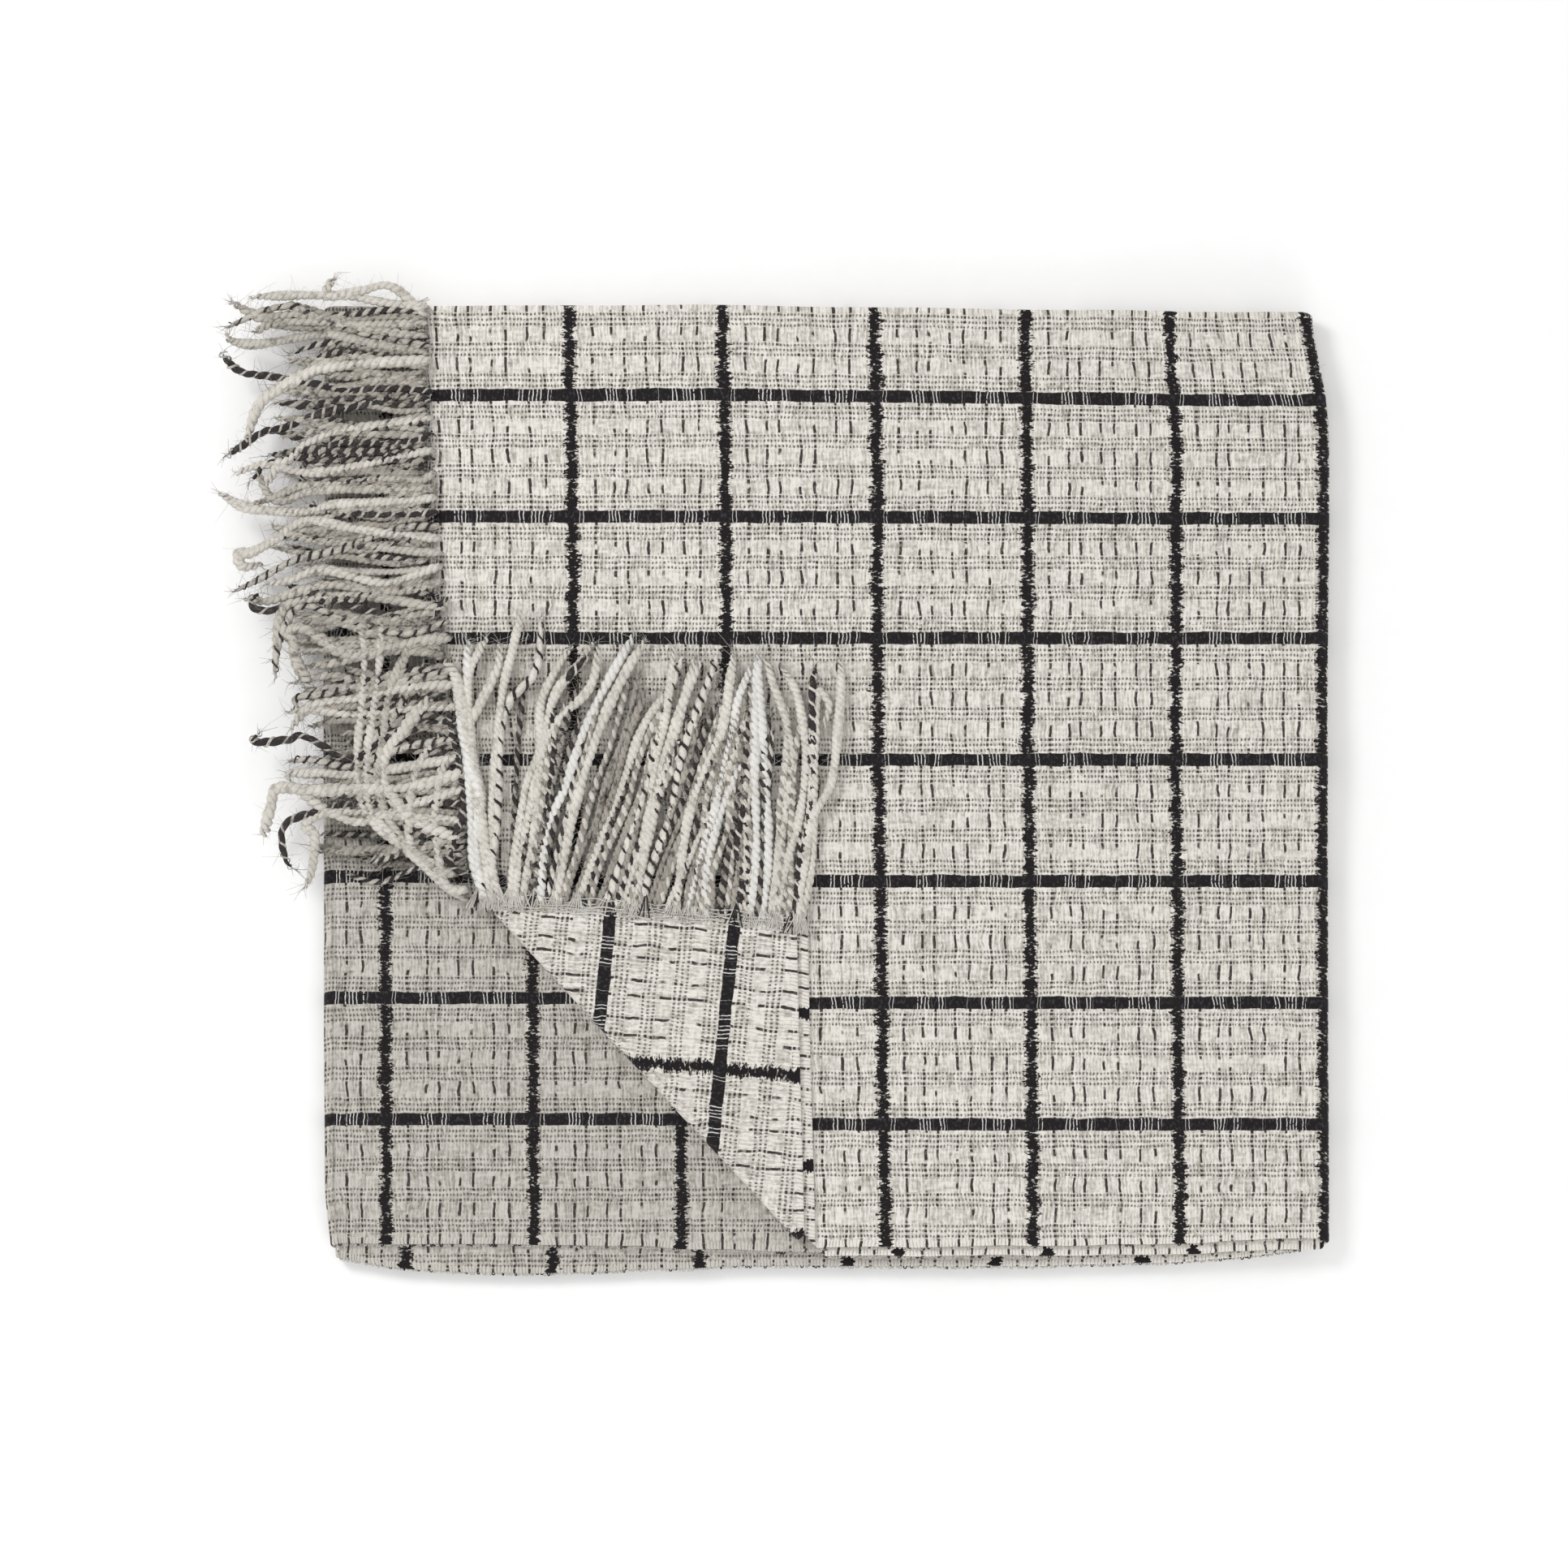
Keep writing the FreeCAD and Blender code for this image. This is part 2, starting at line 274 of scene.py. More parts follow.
def stations(length, soft_start=False, soft_end=False):
    """Places along a length: even steps, and finer ones at a free edge."""
    start = EDGE_STEPS if soft_start else (0.0,)
    end = EDGE_STEPS if soft_end else (0.0,)
    count = max(2, round((length - start[-1] - end[-1]) / GRID)) + 1
    inner = np.linspace(start[-1], length - end[-1], count)
    return np.concatenate([start[:-1], inner, [length - d for d in reversed(end[:-1])]])


def soft_half(distance):
    """Half the cloth's thickness, rounded off towards a free edge."""
    t = np.clip(np.asarray(distance) / EDGE_STEPS[-1], 0, 1)
    return LEAF / 2 * np.maximum(0.35, np.sqrt(1 - (1 - t) ** 2))


def patch(points, normals, cloth, half=LEAF / 2, rims=""):
    """
    A grid of points as two sides of cloth, with a rim along each border named in rims: a and b are the first
    and last row, c and d the first and last column.
    """
    rows, columns = points.shape[:2]
    half = np.broadcast_to(half, (rows, columns))
    offset = np.broadcast_to(normals, points.shape) * half[..., None]
    verts = np.concatenate([settle(points + way * offset).reshape(-1, 3) for way in (1, -1)])
    uv = np.concatenate([np.stack(np.broadcast_arrays(*cloth), -1).reshape(-1, 3)] * 2)
    index, under = np.arange(rows * columns).reshape(rows, columns), rows * columns
    side = np.stack([index[:-1, :-1], index[1:, :-1], index[1:, 1:], index[:-1, 1:]], -1).reshape(-1, 4)
    borders = {"a": index[0, :], "b": index[-1, :], "c": index[:, 0], "d": index[:, -1]}
    edges = [
        np.stack([line[:-1], line[1:], line[1:] + under, line[:-1] + under], -1)
        for line in (borders[rim] for rim in rims)
    ]
    faces = np.concatenate([side, side[:, ::-1] + under, *edges])
    return verts, faces, uv, np.arange(len(faces)) < 2 * len(side)


def in_scene(name, data):
    """A new object in the scene."""
    obj = bpy.data.objects.new(name, data)
    bpy.context.scene.collection.objects.link(obj)
    return obj


def put_uv(mesh, layer, values):
    """Writes a UV map from one pair of values for each vertex."""
    corner = np.zeros(len(mesh.loops), np.int32)
    mesh.loops.foreach_get("vertex_index", corner)
    mesh.uv_layers.new(name=layer).data.foreach_set("uv", values[corner].astype(np.float32).ravel())


def cloth_object(name, patches, material):
    """One sheet from its patches, joined where they meet, with its cloth coordinates as UV maps."""
    starts = np.cumsum([0] + [len(patch_verts) for patch_verts, *_ in patches])
    verts, faces, uv, is_side = (np.concatenate(part) for part in zip(*(
        (patch_verts, patch_faces + start, patch_uv, patch_sides)
        for (patch_verts, patch_faces, patch_uv, patch_sides), start in zip(patches, starts)
    )))
    mesh = bpy.data.meshes.new(name)
    mesh.from_pydata(verts.tolist(), [], faces.tolist())
    put_uv(mesh, "cloth", uv[:, :2])
    put_uv(mesh, "selvedge", np.stack([uv[:, 2], 0 * uv[:, 2]], -1))
    mesh.polygons.foreach_set("use_smooth", is_side)
    mesh.materials.append(material)
    mesh.update()
    obj = in_scene(name, mesh)
    work = bmesh.new()
    work.from_mesh(obj.data)
    bmesh.ops.remove_doubles(work, verts=work.verts, dist=0.02 * MM)
    bmesh.ops.recalc_face_normals(work, faces=work.faces)
    work.to_mesh(obj.data)
    work.free()
    return obj


def rows_of(leaf, kink=None):
    """Fractions from a leaf's front edge to its back turn, with one exactly at kink."""
    depth = BACK_TURN_Y - FRONT[leaf][1][0]
    if kink is None:
        return stations(depth, soft_start=True) / depth
    at = kink - FRONT[leaf][1][0]
    return np.concatenate([stations(at, soft_start=True), at + stations(depth - at)[1:]]) / depth


def leaf_points(leaf, left, right, kink=None, soft_left=False, soft_right=False):
    """A flat leaf as rows from front to back. left gives the left border's x at a height y."""
    columns = stations(right - LEFT_TURN_X, soft_left, soft_right) / (right - LEFT_TURN_X)
    lines = []
    for row in rows_of(leaf, kink):
        start = left(0.0)
        for _ in range(8):
            front = float(front_y(leaf, start))
            start = float(left(front + row * (BACK_TURN_Y - front)))
        x = start + columns * (right - start)
        front = front_y(leaf, x)
        y = front + row * (BACK_TURN_Y - front)
        lines.append(np.stack([x, y, np.full(x.shape, LEVEL[leaf])], -1))
    return np.array(lines)


def leaf_patch(leaf, points, rims, soft_left=False, soft_right=False):
    x, y = points[..., 0], points[..., 1]
    half = soft_half(y - front_y(leaf, x))
    if soft_left:
        half = np.minimum(half, soft_half(x - x[:, :1]))
    if soft_right:
        half = np.minimum(half, soft_half(x[:, -1:] - x))
    return patch(points, (0, 0, 1), (*CLOTH[leaf](x, y), y - front_y(leaf, x)), half, rims)


def turn_patch(low_line, high_line, out, radius, angles, leaf, half=LEAF / 2, rims="", closing=(), edge=1.0):
    """
    Cloth turning from low_line, at angle 0, up to high_line, at half a turn, and bulging along out. leaf
    names the leaf it continues, and edge is each row's distance from the selvedge. closing draws the last
    row together into a rounded end.
    """
    from_above = leaf.endswith("upper")
    share = (angles / math.pi)[None, :, None]
    line = low_line[:, None, :] * (1 - share) + high_line[:, None, :] * share
    axis_z = (low_line[0, 2] + high_line[0, 2]) / 2
    normals = np.zeros_like(line)
    normals[..., 0] = out[0] * np.sin(angles)
    normals[..., 1] = out[1] * np.sin(angles)
    normals[..., 2] = -np.cos(angles)
    line[..., 2] = axis_z
    points = line + normals * radius
    start = high_line if from_above else low_line
    run = (math.pi - angles if from_above else angles)[None, :] * radius
    cloth = CLOTH[leaf](start[:, None, 0] + out[0] * run, start[:, None, 1] + out[1] * run)
    cloth = (*cloth, np.zeros(line.shape[:2]) + np.reshape(edge, (-1, 1)))
    axis, outward = line[-1], normals[-1]
    for angle in closing:
        past_end = np.array([0.0, math.sin(angle), 0.0])
        last = axis + outward * radius * math.cos(angle) + INNER_RADIUS * past_end
        points = np.concatenate([points, last[None]])
        normals = np.concatenate([normals, (outward * math.cos(angle) + past_end)[None]])
    more = ((0, len(closing)), (0, 0))
    cloth = [np.pad(np.broadcast_to(c, line.shape[:2]), more, mode="edge") for c in cloth]
    half = np.pad(np.broadcast_to(half, line.shape[:2]), more, mode="edge")
    return patch(points, normals, cloth, half, rims)


HALF_TURN = np.linspace(0, math.pi, 13)
LOWER_QUARTER = np.linspace(0, math.pi / 2, 6)
UPPER_QUARTER = np.linspace(math.pi / 2, math.pi, 6)
LEFT, RIGHT, BACK = (-1, 0), (1, 0), (0, 1)
ROUND_END = tuple(math.radians(angle) for angle in (25, 50, 70, 88))


def cross_turn(low_line, high_line, out, radius, angles, leaf, rims, closing=()):
    """A turn whose first row is the cloth's soft front edge."""
    edge = high_line[:, 1] - high_line[0, 1]
    half = np.broadcast_to(soft_half(edge)[:, None], (len(low_line), len(angles)))
    return turn_patch(low_line, high_line, out, radius, angles, leaf, half, rims, closing, edge)


def same_rows(line, count):
    """A border line with another number of points, evenly spaced by row."""
    at = np.linspace(0, len(line) - 1, count)
    return np.stack([np.interp(at, np.arange(len(line)), line[:, k]) for k in range(3)], -1)


def straight(x):
    return lambda y: x


def turn_line_x(y):
    """The x of the turned corner's turn line at a height y."""
    return TURN_START[0] + (y - TURN_START[1]) * CORNER_WAY[0] / CORNER_WAY[1]


def turn_line_y(x):
    return TURN_START[1] + (x - TURN_START[0]) * CORNER_WAY[1] / CORNER_WAY[0]


KINK_Y = -0.0815    # where the top panel's fringed edge meets the turned corner


def top_left(y):
    """The top panel's left border: its fringed edge, and in front of that the turned corner's turn line."""
    if y >= KINK_Y:
        return float(fringe_edge_x(y))
    corner = float(fringe_edge_x(KINK_Y))
    return max(corner, turn_line_x(y))


FLAP_INSET = 6.0 * MM      # from the turn line's lower end to the flap's first column
FLAP_LEAN = 0.035 * 0.6    # how far the flap's columns lean at its side


def flap_edge_y(x):
    """The turned corner's fringed edge."""
    x = np.asarray(x, float)
    wave = ripple(x, 0 * x, 21, 0.05) * 0.8 * MM
    edge = curve_through(
        x, [-0.190, -0.150, -0.080, 0.000, 0.030], [-0.0790, -0.0800, -0.0850, -0.0935, -0.0975]
    )
    return edge + wave


def flap_points(leaf, side):
    """One leaf of the turned corner: columns of x, each from the turn line to the fringed edge."""
    first = TURN_START[0] + FLAP_INSET
    across = first + stations(side - first, soft_end=True)
    up = stations(0.2, soft_end=True) / 0.2
    points = np.zeros((len(across), len(up), 3))
    lean = FLAP_LEAN * (across - first) / (side - first)
    start = turn_line_y(across)
    points[..., 1] = start[:, None] + up * (flap_edge_y(across) - start)[:, None]
    points[..., 0] = across[:, None] - lean[:, None] * (points[..., 1] - start[:, None])
    points[..., 2] = LEVEL[leaf]
    return points


def flap_patch(leaf, points):
    x, y = points[..., 0], points[..., 1]
    half = np.minimum(soft_half(y[:, -1:] - y), soft_half(x[-1:, :] - x))
    return patch(points, (0, 0, 1), (*CLOTH[leaf](x, y), x[-1:, :] - x), half, "abcd")


def turn_line(first, last, level):
    """Points along the turned corner's turn line, between two x positions."""
    length = (last - first) / CORNER_WAY[0]
    along = stations(length) / length
    x = first + along * (last - first)
    return np.stack([x, turn_line_y(x), np.full(x.shape, LEVEL[level])], -1)


# ---- materials


class Nodes:
    """A short way to write a material's nodes."""

    def __init__(self, name):
        self.material = bpy.data.materials.new(name)
        self.material.use_nodes = True
        self.tree = self.material.node_tree
        self.shader = self.tree.nodes["Principled BSDF"]

    def put(self, socket, value):
        if isinstance(value, bpy.types.NodeSocket):
            self.tree.links.new(value, socket)
        else:
            socket.default_value = value

    def math(self, operation, a, b=None, c=None):
        node = self.tree.nodes.new("ShaderNodeMath")
        node.operation = operation
        for socket, value in zip(node.inputs, (a, b, c)):
            if value is not None:
                self.put(socket, value)
        return node.outputs[0]

    def chain(self, operation, terms):
        total = terms[0]
        for term in terms[1:]:
            total = self.math(operation, total, term)
        return total

    def add(self, *terms):
        return self.chain("ADD", terms)

    def times(self, *terms):
        return self.chain("MULTIPLY", terms)

    def minus(self, a, b):
        return self.math("SUBTRACT", a, b)

    def within(self, value, centre, half, soft):
        """1 where value is within half of centre, falling to 0 over soft."""
        away = self.math("ABSOLUTE", self.minus(value, centre))
        return self.step(away, half + soft / 2, half - soft / 2)

    def step(self, value, start, end):
        node = self.tree.nodes.new("ShaderNodeMapRange")
        node.interpolation_type = "SMOOTHSTEP"
        for name, given in (("Value", value), ("From Min", start), ("From Max", end)):
            self.put(node.inputs[name], given)
        return node.outputs[0]

    def vector(self, x, y, z=0.0):
        node = self.tree.nodes.new("ShaderNodeCombineXYZ")
        for socket, value in zip(node.inputs, (x, y, z)):
            self.put(socket, value)
        return node.outputs[0]

    def noise(self, vector, scale, detail=2.0, roughness=0.5):
        node = self.tree.nodes.new("ShaderNodeTexNoise")
        node.inputs["Scale"].default_value = scale
        node.inputs["Detail"].default_value = detail
        node.inputs["Roughness"].default_value = roughness
        self.put(node.inputs["Vector"], vector)
        return node.outputs["Fac"]

    def blend(self, share, a, b):
        """Colour a where share is 0 and b where it is 1."""
        node = self.tree.nodes.new("ShaderNodeMix")
        node.data_type = "RGBA"
        for socket, value in ((node.inputs[0], share), (node.inputs[6], a), (node.inputs[7], b)):
            self.put(socket, value)
        return node.outputs[2]

    def coordinates(self, layer="cloth"):
        """A UV map in millimetres: along the cloth or yarn, and across it."""
        node = self.tree.nodes.new("ShaderNodeUVMap")
        node.uv_map = layer
        split = self.tree.nodes.new("ShaderNodeSeparateXYZ")
        self.tree.links.new(node.outputs[0], split.inputs[0])
        return self.times(split.outputs[0], 1000.0), self.times(split.outputs[1], 1000.0)

    def finish(self, colour, roughness, height, distance):
        """Cloth and yarn: soft, hardly shiny, with height as bump."""
        bump = self.tree.nodes.new("ShaderNodeBump")
        bump.inputs["Distance"].default_value = distance
        bump.inputs["Strength"].default_value = 1.0
        self.put(bump.inputs["Height"], height)
        self.put(self.shader.inputs["Base Color"], colour)
        self.put(self.shader.inputs["Roughness"], roughness)
        self.tree.links.new(bump.outputs[0], self.shader.inputs["Normal"])
        self.shader.inputs["Sheen Weight"].default_value = 0.04
        self.shader.inputs["Sheen Roughness"].default_value = 0.6
        self.shader.inputs["Specular IOR Level"].default_value = 0.15
        return self.material


WHITE_YARN = (0.800, 0.785, 0.745, 1)
CHARCOAL = (0.014, 0.011, 0.012, 1)
SLATE_YARN = (0.052, 0.052, 0.060, 1)
BROWN_YARN = (0.045, 0.036, 0.032, 1)
# painted shade: the dark colour that fills the cloth's open holes
HOLE_SHADE = (0.120, 0.106, 0.096, 1)

# All in millimetres on the cloth, apart from the lines, which are shares of a cell along the warp.
PICK = 2.42                              # from one weft thread to the next
END_PITCH = 1.75                         # from one warp thread to the next
ROW_GROUPS = (11.4, 31.1, 51.4, 72.4)    # the middles of the groups of three rows of holes
ROW_PITCH = 3.5
WEFT_MM, WARP_MM = WEFT_CELL * 1000, WARP_CELL * 1000
CELLS_BEFORE = 40                        # keeps the place positive all over the cloth
LAST_STRIPE = (552.0, 548.0)             # no dark warp stripe beyond this
WHITE_LINES = (                          # centre and half width
    (0.06, 0.012), (0.28, 0.05), (0.40, 0.026), (0.582, 0.009), (0.677, 0.028), (0.78, 0.045), (0.86, 0.02),
)
DARK_LINES = (0.15, 0.28, 0.36, 0.497, 0.59, 0.735, 0.835)
PAINTED_SHADE_UNTIL, PAINTED_SHADE_GONE_FROM = 300.0, 520.0    # painted shade: darker tones at the hidden end up to the first place, fading out by the second, in mm along the warp


def woven_cloth(name, cream, deep, shaded=None):
    """
    The check: dark stripes both ways, rows of open holes, and thin broken dark weft lines, with painted
    shade in the holes and between the threads. shaded is the pair of darker tones, painted shade, that
    replaces cream and deep towards the hidden end of the cloth.
    """
    n = Nodes(name)
    along, across = n.coordinates()

    def streaks(along_scale, across_scale, detail, roughness=0.5):
        """Noise drawn out along either thread."""
        place = n.vector(n.times(along, along_scale), n.times(across, across_scale))
        return n.noise(place, 1.0, detail, roughness)

    # painted shade: the darker pair of tones towards the hidden end, fading out along the warp
    if shaded:
        unshaded_share = n.step(along, PAINTED_SHADE_UNTIL, PAINTED_SHADE_GONE_FROM)
        cream, deep = n.blend(unshaded_share, shaded[0], cream), n.blend(unshaded_share, shaded[1], deep)
    from_edge, _ = n.coordinates("selvedge")
    selvedge = n.step(from_edge, 5.2, 3.6)
    place = n.vector(along, across)
    u = n.add(along, n.times(n.minus(n.noise(place, 0.045, 3, 0.6), 0.5), 6.0))
    v = n.add(across, n.times(n.minus(n.noise(place, 0.06, 2), 0.5), 2.6))
    thread = n.math("FRACT", n.math("DIVIDE", u, PICK))
    ridge = n.math("SINE", n.times(thread, math.pi))
    weft_cell = n.math("FRACT", n.math("DIVIDE", u, WEFT_MM))
    v_cell = n.math("MODULO", n.add(v, WARP_MM * CELLS_BEFORE), WARP_MM)
    to_warp = n.math("PINGPONG", n.add(v, WARP_MM * CELLS_BEFORE), WARP_MM / 2)
    to_weft = n.math("PINGPONG", n.add(u, WEFT_MM * CELLS_BEFORE), WEFT_MM / 2)

    # rows of holes in groups of three
    group = n.chain("MINIMUM", [n.math("ABSOLUTE", n.minus(v_cell, centre)) for centre in ROW_GROUPS])
    in_group = n.step(group, 5.6, 5.0)
    to_row = n.math("PINGPONG", n.add(group, ROW_PITCH * 10), ROW_PITCH / 2)
    row = n.times(in_group, n.step(to_row, 1.15, 0.40), n.minus(1.0, selvedge))
    uneven = streaks(0.45, 0.45, 1)
    hole = n.times(row, n.step(ridge, 0.86, 0.40), n.step(uneven, 0.30, 0.55))

    hairs = streaks(2.6, 0.45, 3, 0.65)
    cross_hairs = streaks(0.5, 2.6, 3, 0.65)
    cloudy = n.noise(place, 0.02, 3)
    flecks = streaks(0.55, 0.30, 2, 0.6)

    # each thread has its own tone, which drifts along it
    weft_thread = n.math("FLOOR", n.math("DIVIDE", u, PICK / 2))
    weft_tone = n.noise(n.vector(n.times(weft_thread, 3.7), n.times(across, 0.055)), 1.0, 2, 0.6)
    warp_thread = n.math("FLOOR", n.math("DIVIDE", v, END_PITCH))
    warp_tone = n.noise(n.vector(n.times(along, 0.07), n.times(warp_thread, 3.7)), 1.0, 2, 0.6)

    # the threads' own tones, with painted light and shade mixed in where marked
    shade = n.add(
        n.times(n.minus(0.53, weft_tone), 2.20),
        n.times(n.minus(0.53, warp_tone), 1.30),
        n.times(n.minus(0.53, flecks), 1.30),
        # painted light and shade along the selvedge: the whole strip lighter, and the gaps between its weft
        # loops darker again
        n.times(selvedge, n.step(ridge, 0.75, 0.10), 0.90),
        n.times(selvedge, -0.85),
        # painted shade in the grooves between weft threads
        n.times(n.step(ridge, 0.60, 0.0), 0.20),
        n.times(n.minus(0.60, hairs), 1.00),
        n.times(n.minus(0.50, cross_hairs), 0.55),
        n.times(n.minus(0.5, cloudy), 0.30),
        # painted shade in the open holes and, lightly, along their rows
        n.times(hole, 0.55),
        n.times(row, 0.14),
    )
    # painted shade: the open holes filled with a dark colour
    ground = n.blend(n.times(hole, 0.86), n.blend(shade, cream, deep), HOLE_SHADE)

    # thin dark weft lines, broken where they pass under the warp
    broken = streaks(0.03, 0.085, 1)
    thin = n.chain("MAXIMUM", [n.within(weft_cell, at, 0.0088, 0.0050) for at in DARK_LINES])
    unbroken = n.math("MAXIMUM", n.step(broken, 0.42, 0.49), selvedge)
    between_rows = n.minus(1.0, n.times(in_group, n.step(to_row, 0.5, 1.3), 0.75))
    thin = n.times(thin, unbroken, between_rows, n.add(0.62, n.times(flecks, 0.75)))
    colour = n.blend(thin, ground, BROWN_YARN)

    # weft stripe: dark threads with serrated sides, solid beside the rows and flecked with cream between
    teeth = streaks(0.14, 0.40, 1, 0.6)
    side = n.add(-1.6, n.times(teeth, 11.5), n.times(in_group, 0.3))
    ladder = n.step(n.minus(to_weft, side), 0.35, -0.35)
    fleck = streaks(0.30, 0.62, 2, 0.6)
    core = n.step(to_weft, 4.2, 1.2)
    cover = n.add(fleck, n.times(in_group, 0.06), n.times(core, 0.13), n.times(selvedge, 0.3), -0.03)
    colour = n.blend(n.times(ladder, n.step(cover, 0.38, 0.54)), colour, CHARCOAL)

    # warp stripe: solid dark, with white threads over it in groups
    warp_edge = n.add(to_warp, n.times(n.minus(cross_hairs, 0.5), 1.5))
    warp = n.times(n.step(warp_edge, 4.45, 3.95), n.step(v, *LAST_STRIPE))
    over = n.chain("MAXIMUM", [n.within(weft_cell, centre, half, 0.004) for centre, half in WHITE_LINES])
    white = n.times(over, n.step(ridge, 0.58, 0.22), n.step(uneven, 0.30, 0.45))
    dark = n.blend(n.step(flecks, 0.50, 0.72), CHARCOAL, SLATE_YARN)
    dark = n.blend(n.times(white, 0.88), dark, WHITE_YARN)
    colour = n.blend(warp, colour, dark)

    height = n.add(
        n.times(ridge, n.add(0.55, n.times(selvedge, 0.9))),
        n.times(weft_tone, 1.1),
        n.times(warp_tone, 0.8),
        n.times(hole, -0.9),
        n.times(ladder, 0.25),
        n.times(warp, 0.30),
        n.times(hairs, 0.85),
        n.times(cross_hairs, 0.55),
    )
    return n.finish(colour, n.add(0.80, n.times(hairs, 0.2)), height, 0.00045)


def yarn(name, colour, shadow, speck, mottle):
    """Spun yarn: fibres winding round it, soft uneven tones, and specks of a third colour."""
    n = Nodes(name)
    along, around = n.coordinates()
    winding = n.add(n.times(along, 1.1), n.times(around, 2.4))
    fibres = n.noise(n.vector(winding, n.times(around, 0.9), n.times(along, 0.12)), 1.0, 3, 0.7)
    spots = n.tree.nodes.new("ShaderNodeTexCoord").outputs["Object"]
    tone = n.noise(spots, 55.0, 2)
    patches = n.noise(spots, 210.0, 2, 0.6)
    share = n.add(n.times(n.minus(fibres, 0.38), 1.1), n.times(n.minus(tone, 0.45), 0.9))
    spun = n.blend(share, colour, shadow)
    speckled = n.times(n.step(n.add(n.times(patches, 0.6), n.times(fibres, 0.4)), 0.50, 0.62), mottle)
    return n.finish(n.blend(speckled, spun, speck), n.add(0.75, n.times(fibres, 0.25)), fibres, 0.0005)


CLOTH_TONES = (0.860, 0.826, 0.762, 1), (0.335, 0.307, 0.262, 1)
# painted shade: darker copies of the cloth's cream and deep tones
PAINTED_SHADE_TONES = (0.640, 0.612, 0.560, 1), (0.250, 0.229, 0.194, 1)
weave = woven_cloth("woven_cloth", *CLOTH_TONES)
# the same cloth with painted shade towards its hidden end, for the bottom and middle panels and the left
# fold
painted_shade_weave = woven_cloth("woven_cloth_inner", *CLOTH_TONES, PAINTED_SHADE_TONES)
YARN_TONES = {
    # colour, shadow, specks, and how strong the specks are
    "cream_yarn": ((0.815, 0.780, 0.714, 1), (0.440, 0.402, 0.345, 1), (0.310, 0.280, 0.236, 1), 0.45),
    # painted shade: shaded_yarn and pale_yarn are darker copies of cream_yarn and white_yarn
    "shaded_yarn": ((0.600, 0.568, 0.508, 1), (0.225, 0.202, 0.168, 1), (0.110, 0.097, 0.082, 1), 0.70),
    "pale_yarn": ((0.735, 0.702, 0.640, 1), (0.360, 0.328, 0.278, 1), (0.240, 0.214, 0.180, 1), 0.50),
    # painted shade: grey_yarn stands for the shade between strands, on the lower leaf's real strands
    "grey_yarn": ((0.460, 0.426, 0.374, 1), (0.160, 0.143, 0.121, 1), (0.040, 0.035, 0.032, 1), 0.80),
    "dark_yarn": ((0.040, 0.034, 0.034, 1), (0.013, 0.011, 0.011, 1), (0.150, 0.138, 0.126, 1), 0.40),
    "white_yarn": ((0.870, 0.855, 0.820, 1), (0.580, 0.560, 0.520, 1), (0.420, 0.390, 0.345, 1), 0.25),
}
spun_yarns = {name: yarn(name, *tones) for name, tones in YARN_TONES.items()}
YARNS = [spun_yarns[f"{tone}_yarn"] for tone in ("cream", "dark", "white", "grey")]
# painted shade: the top panel's fringe takes the darker copies in place of the cream and white yarns
PAINTED_SHADE_YARNS = [spun_yarns[f"{tone}_yarn"] for tone in ("shaded", "dark", "pale", "grey")]
LIGHT, DARK, WHITE, SHADOW_GREY = 0, 1, 2, 3    # a yarn's place in either list; the grey one is painted shade between strands

# ---- the folded cloth

SOFT = {"bottom": {"soft_right": True}, "middle": {}, "top": {"soft_left": True}}
leaves = {}
for panel, left, right, kink in (
    ("bottom", straight(LEFT_TURN_X), BOTTOM_END_X, None),
    ("middle", straight(LEFT_TURN_X), RIGHT_TURN_X, None),
    ("top", top_left, RIGHT_TURN_X, KINK_Y),
):
    for leaf in (f"{panel}_lower", f"{panel}_upper"):
        leaves[leaf] = leaf_points(leaf, left, right, kink, **SOFT[panel])


def doubled(panel):
    """A panel's two leaves and the fold at the back that joins them."""
    lower, upper = leaves[f"{panel}_lower"], leaves[f"{panel}_upper"]
    return [
        leaf_patch(f"{panel}_lower", lower, "acd", **SOFT[panel]),
        leaf_patch(f"{panel}_upper", upper, "acd", **SOFT[panel]),
        turn_patch(lower[-1], upper[-1], BACK, INNER_RADIUS, HALF_TURN, f"{panel}_upper", rims="ab"),
    ]


def matched(a, b):
    """Two border lines with the same number of points."""
    count = max(len(a), len(b))
    return same_rows(a, count), same_rows(b, count)


left_inner = matched(leaves["bottom_upper"][:, 0], leaves["middle_lower"][:, 0])
right_inner = matched(leaves["middle_upper"][:, -1], leaves["top_lower"][:, -1])

bottom_cloth = cloth_object("bottom_cloth", [
    *doubled("bottom"),
    cross_turn(*left_inner, LEFT, INNER_RADIUS, LOWER_QUARTER, "bottom_upper", "abcd"),
], painted_shade_weave)
middle_cloth = cloth_object("middle_cloth", [
    *doubled("middle"),
    cross_turn(*left_inner, LEFT, INNER_RADIUS, UPPER_QUARTER, "middle_upper", "abcd"),
    cross_turn(*right_inner, RIGHT, INNER_RADIUS, LOWER_QUARTER, "middle_upper", "abcd"),
], painted_shade_weave)

FLAP_SIDE = {"corner_upper": high("corner_upper_leaf").x, "corner_lower": high("corner_lower_leaf").x}
flap = {leaf: flap_points(leaf, side) for leaf, side in FLAP_SIDE.items()}
inner_line, outer_line = (
    [turn_line(TURN_START[0] + FLAP_INSET, FLAP_SIDE["corner_upper"], leaf) for leaf in pair]
    for pair in (("top_upper", "corner_lower"), ("top_lower", "corner_upper"))
)

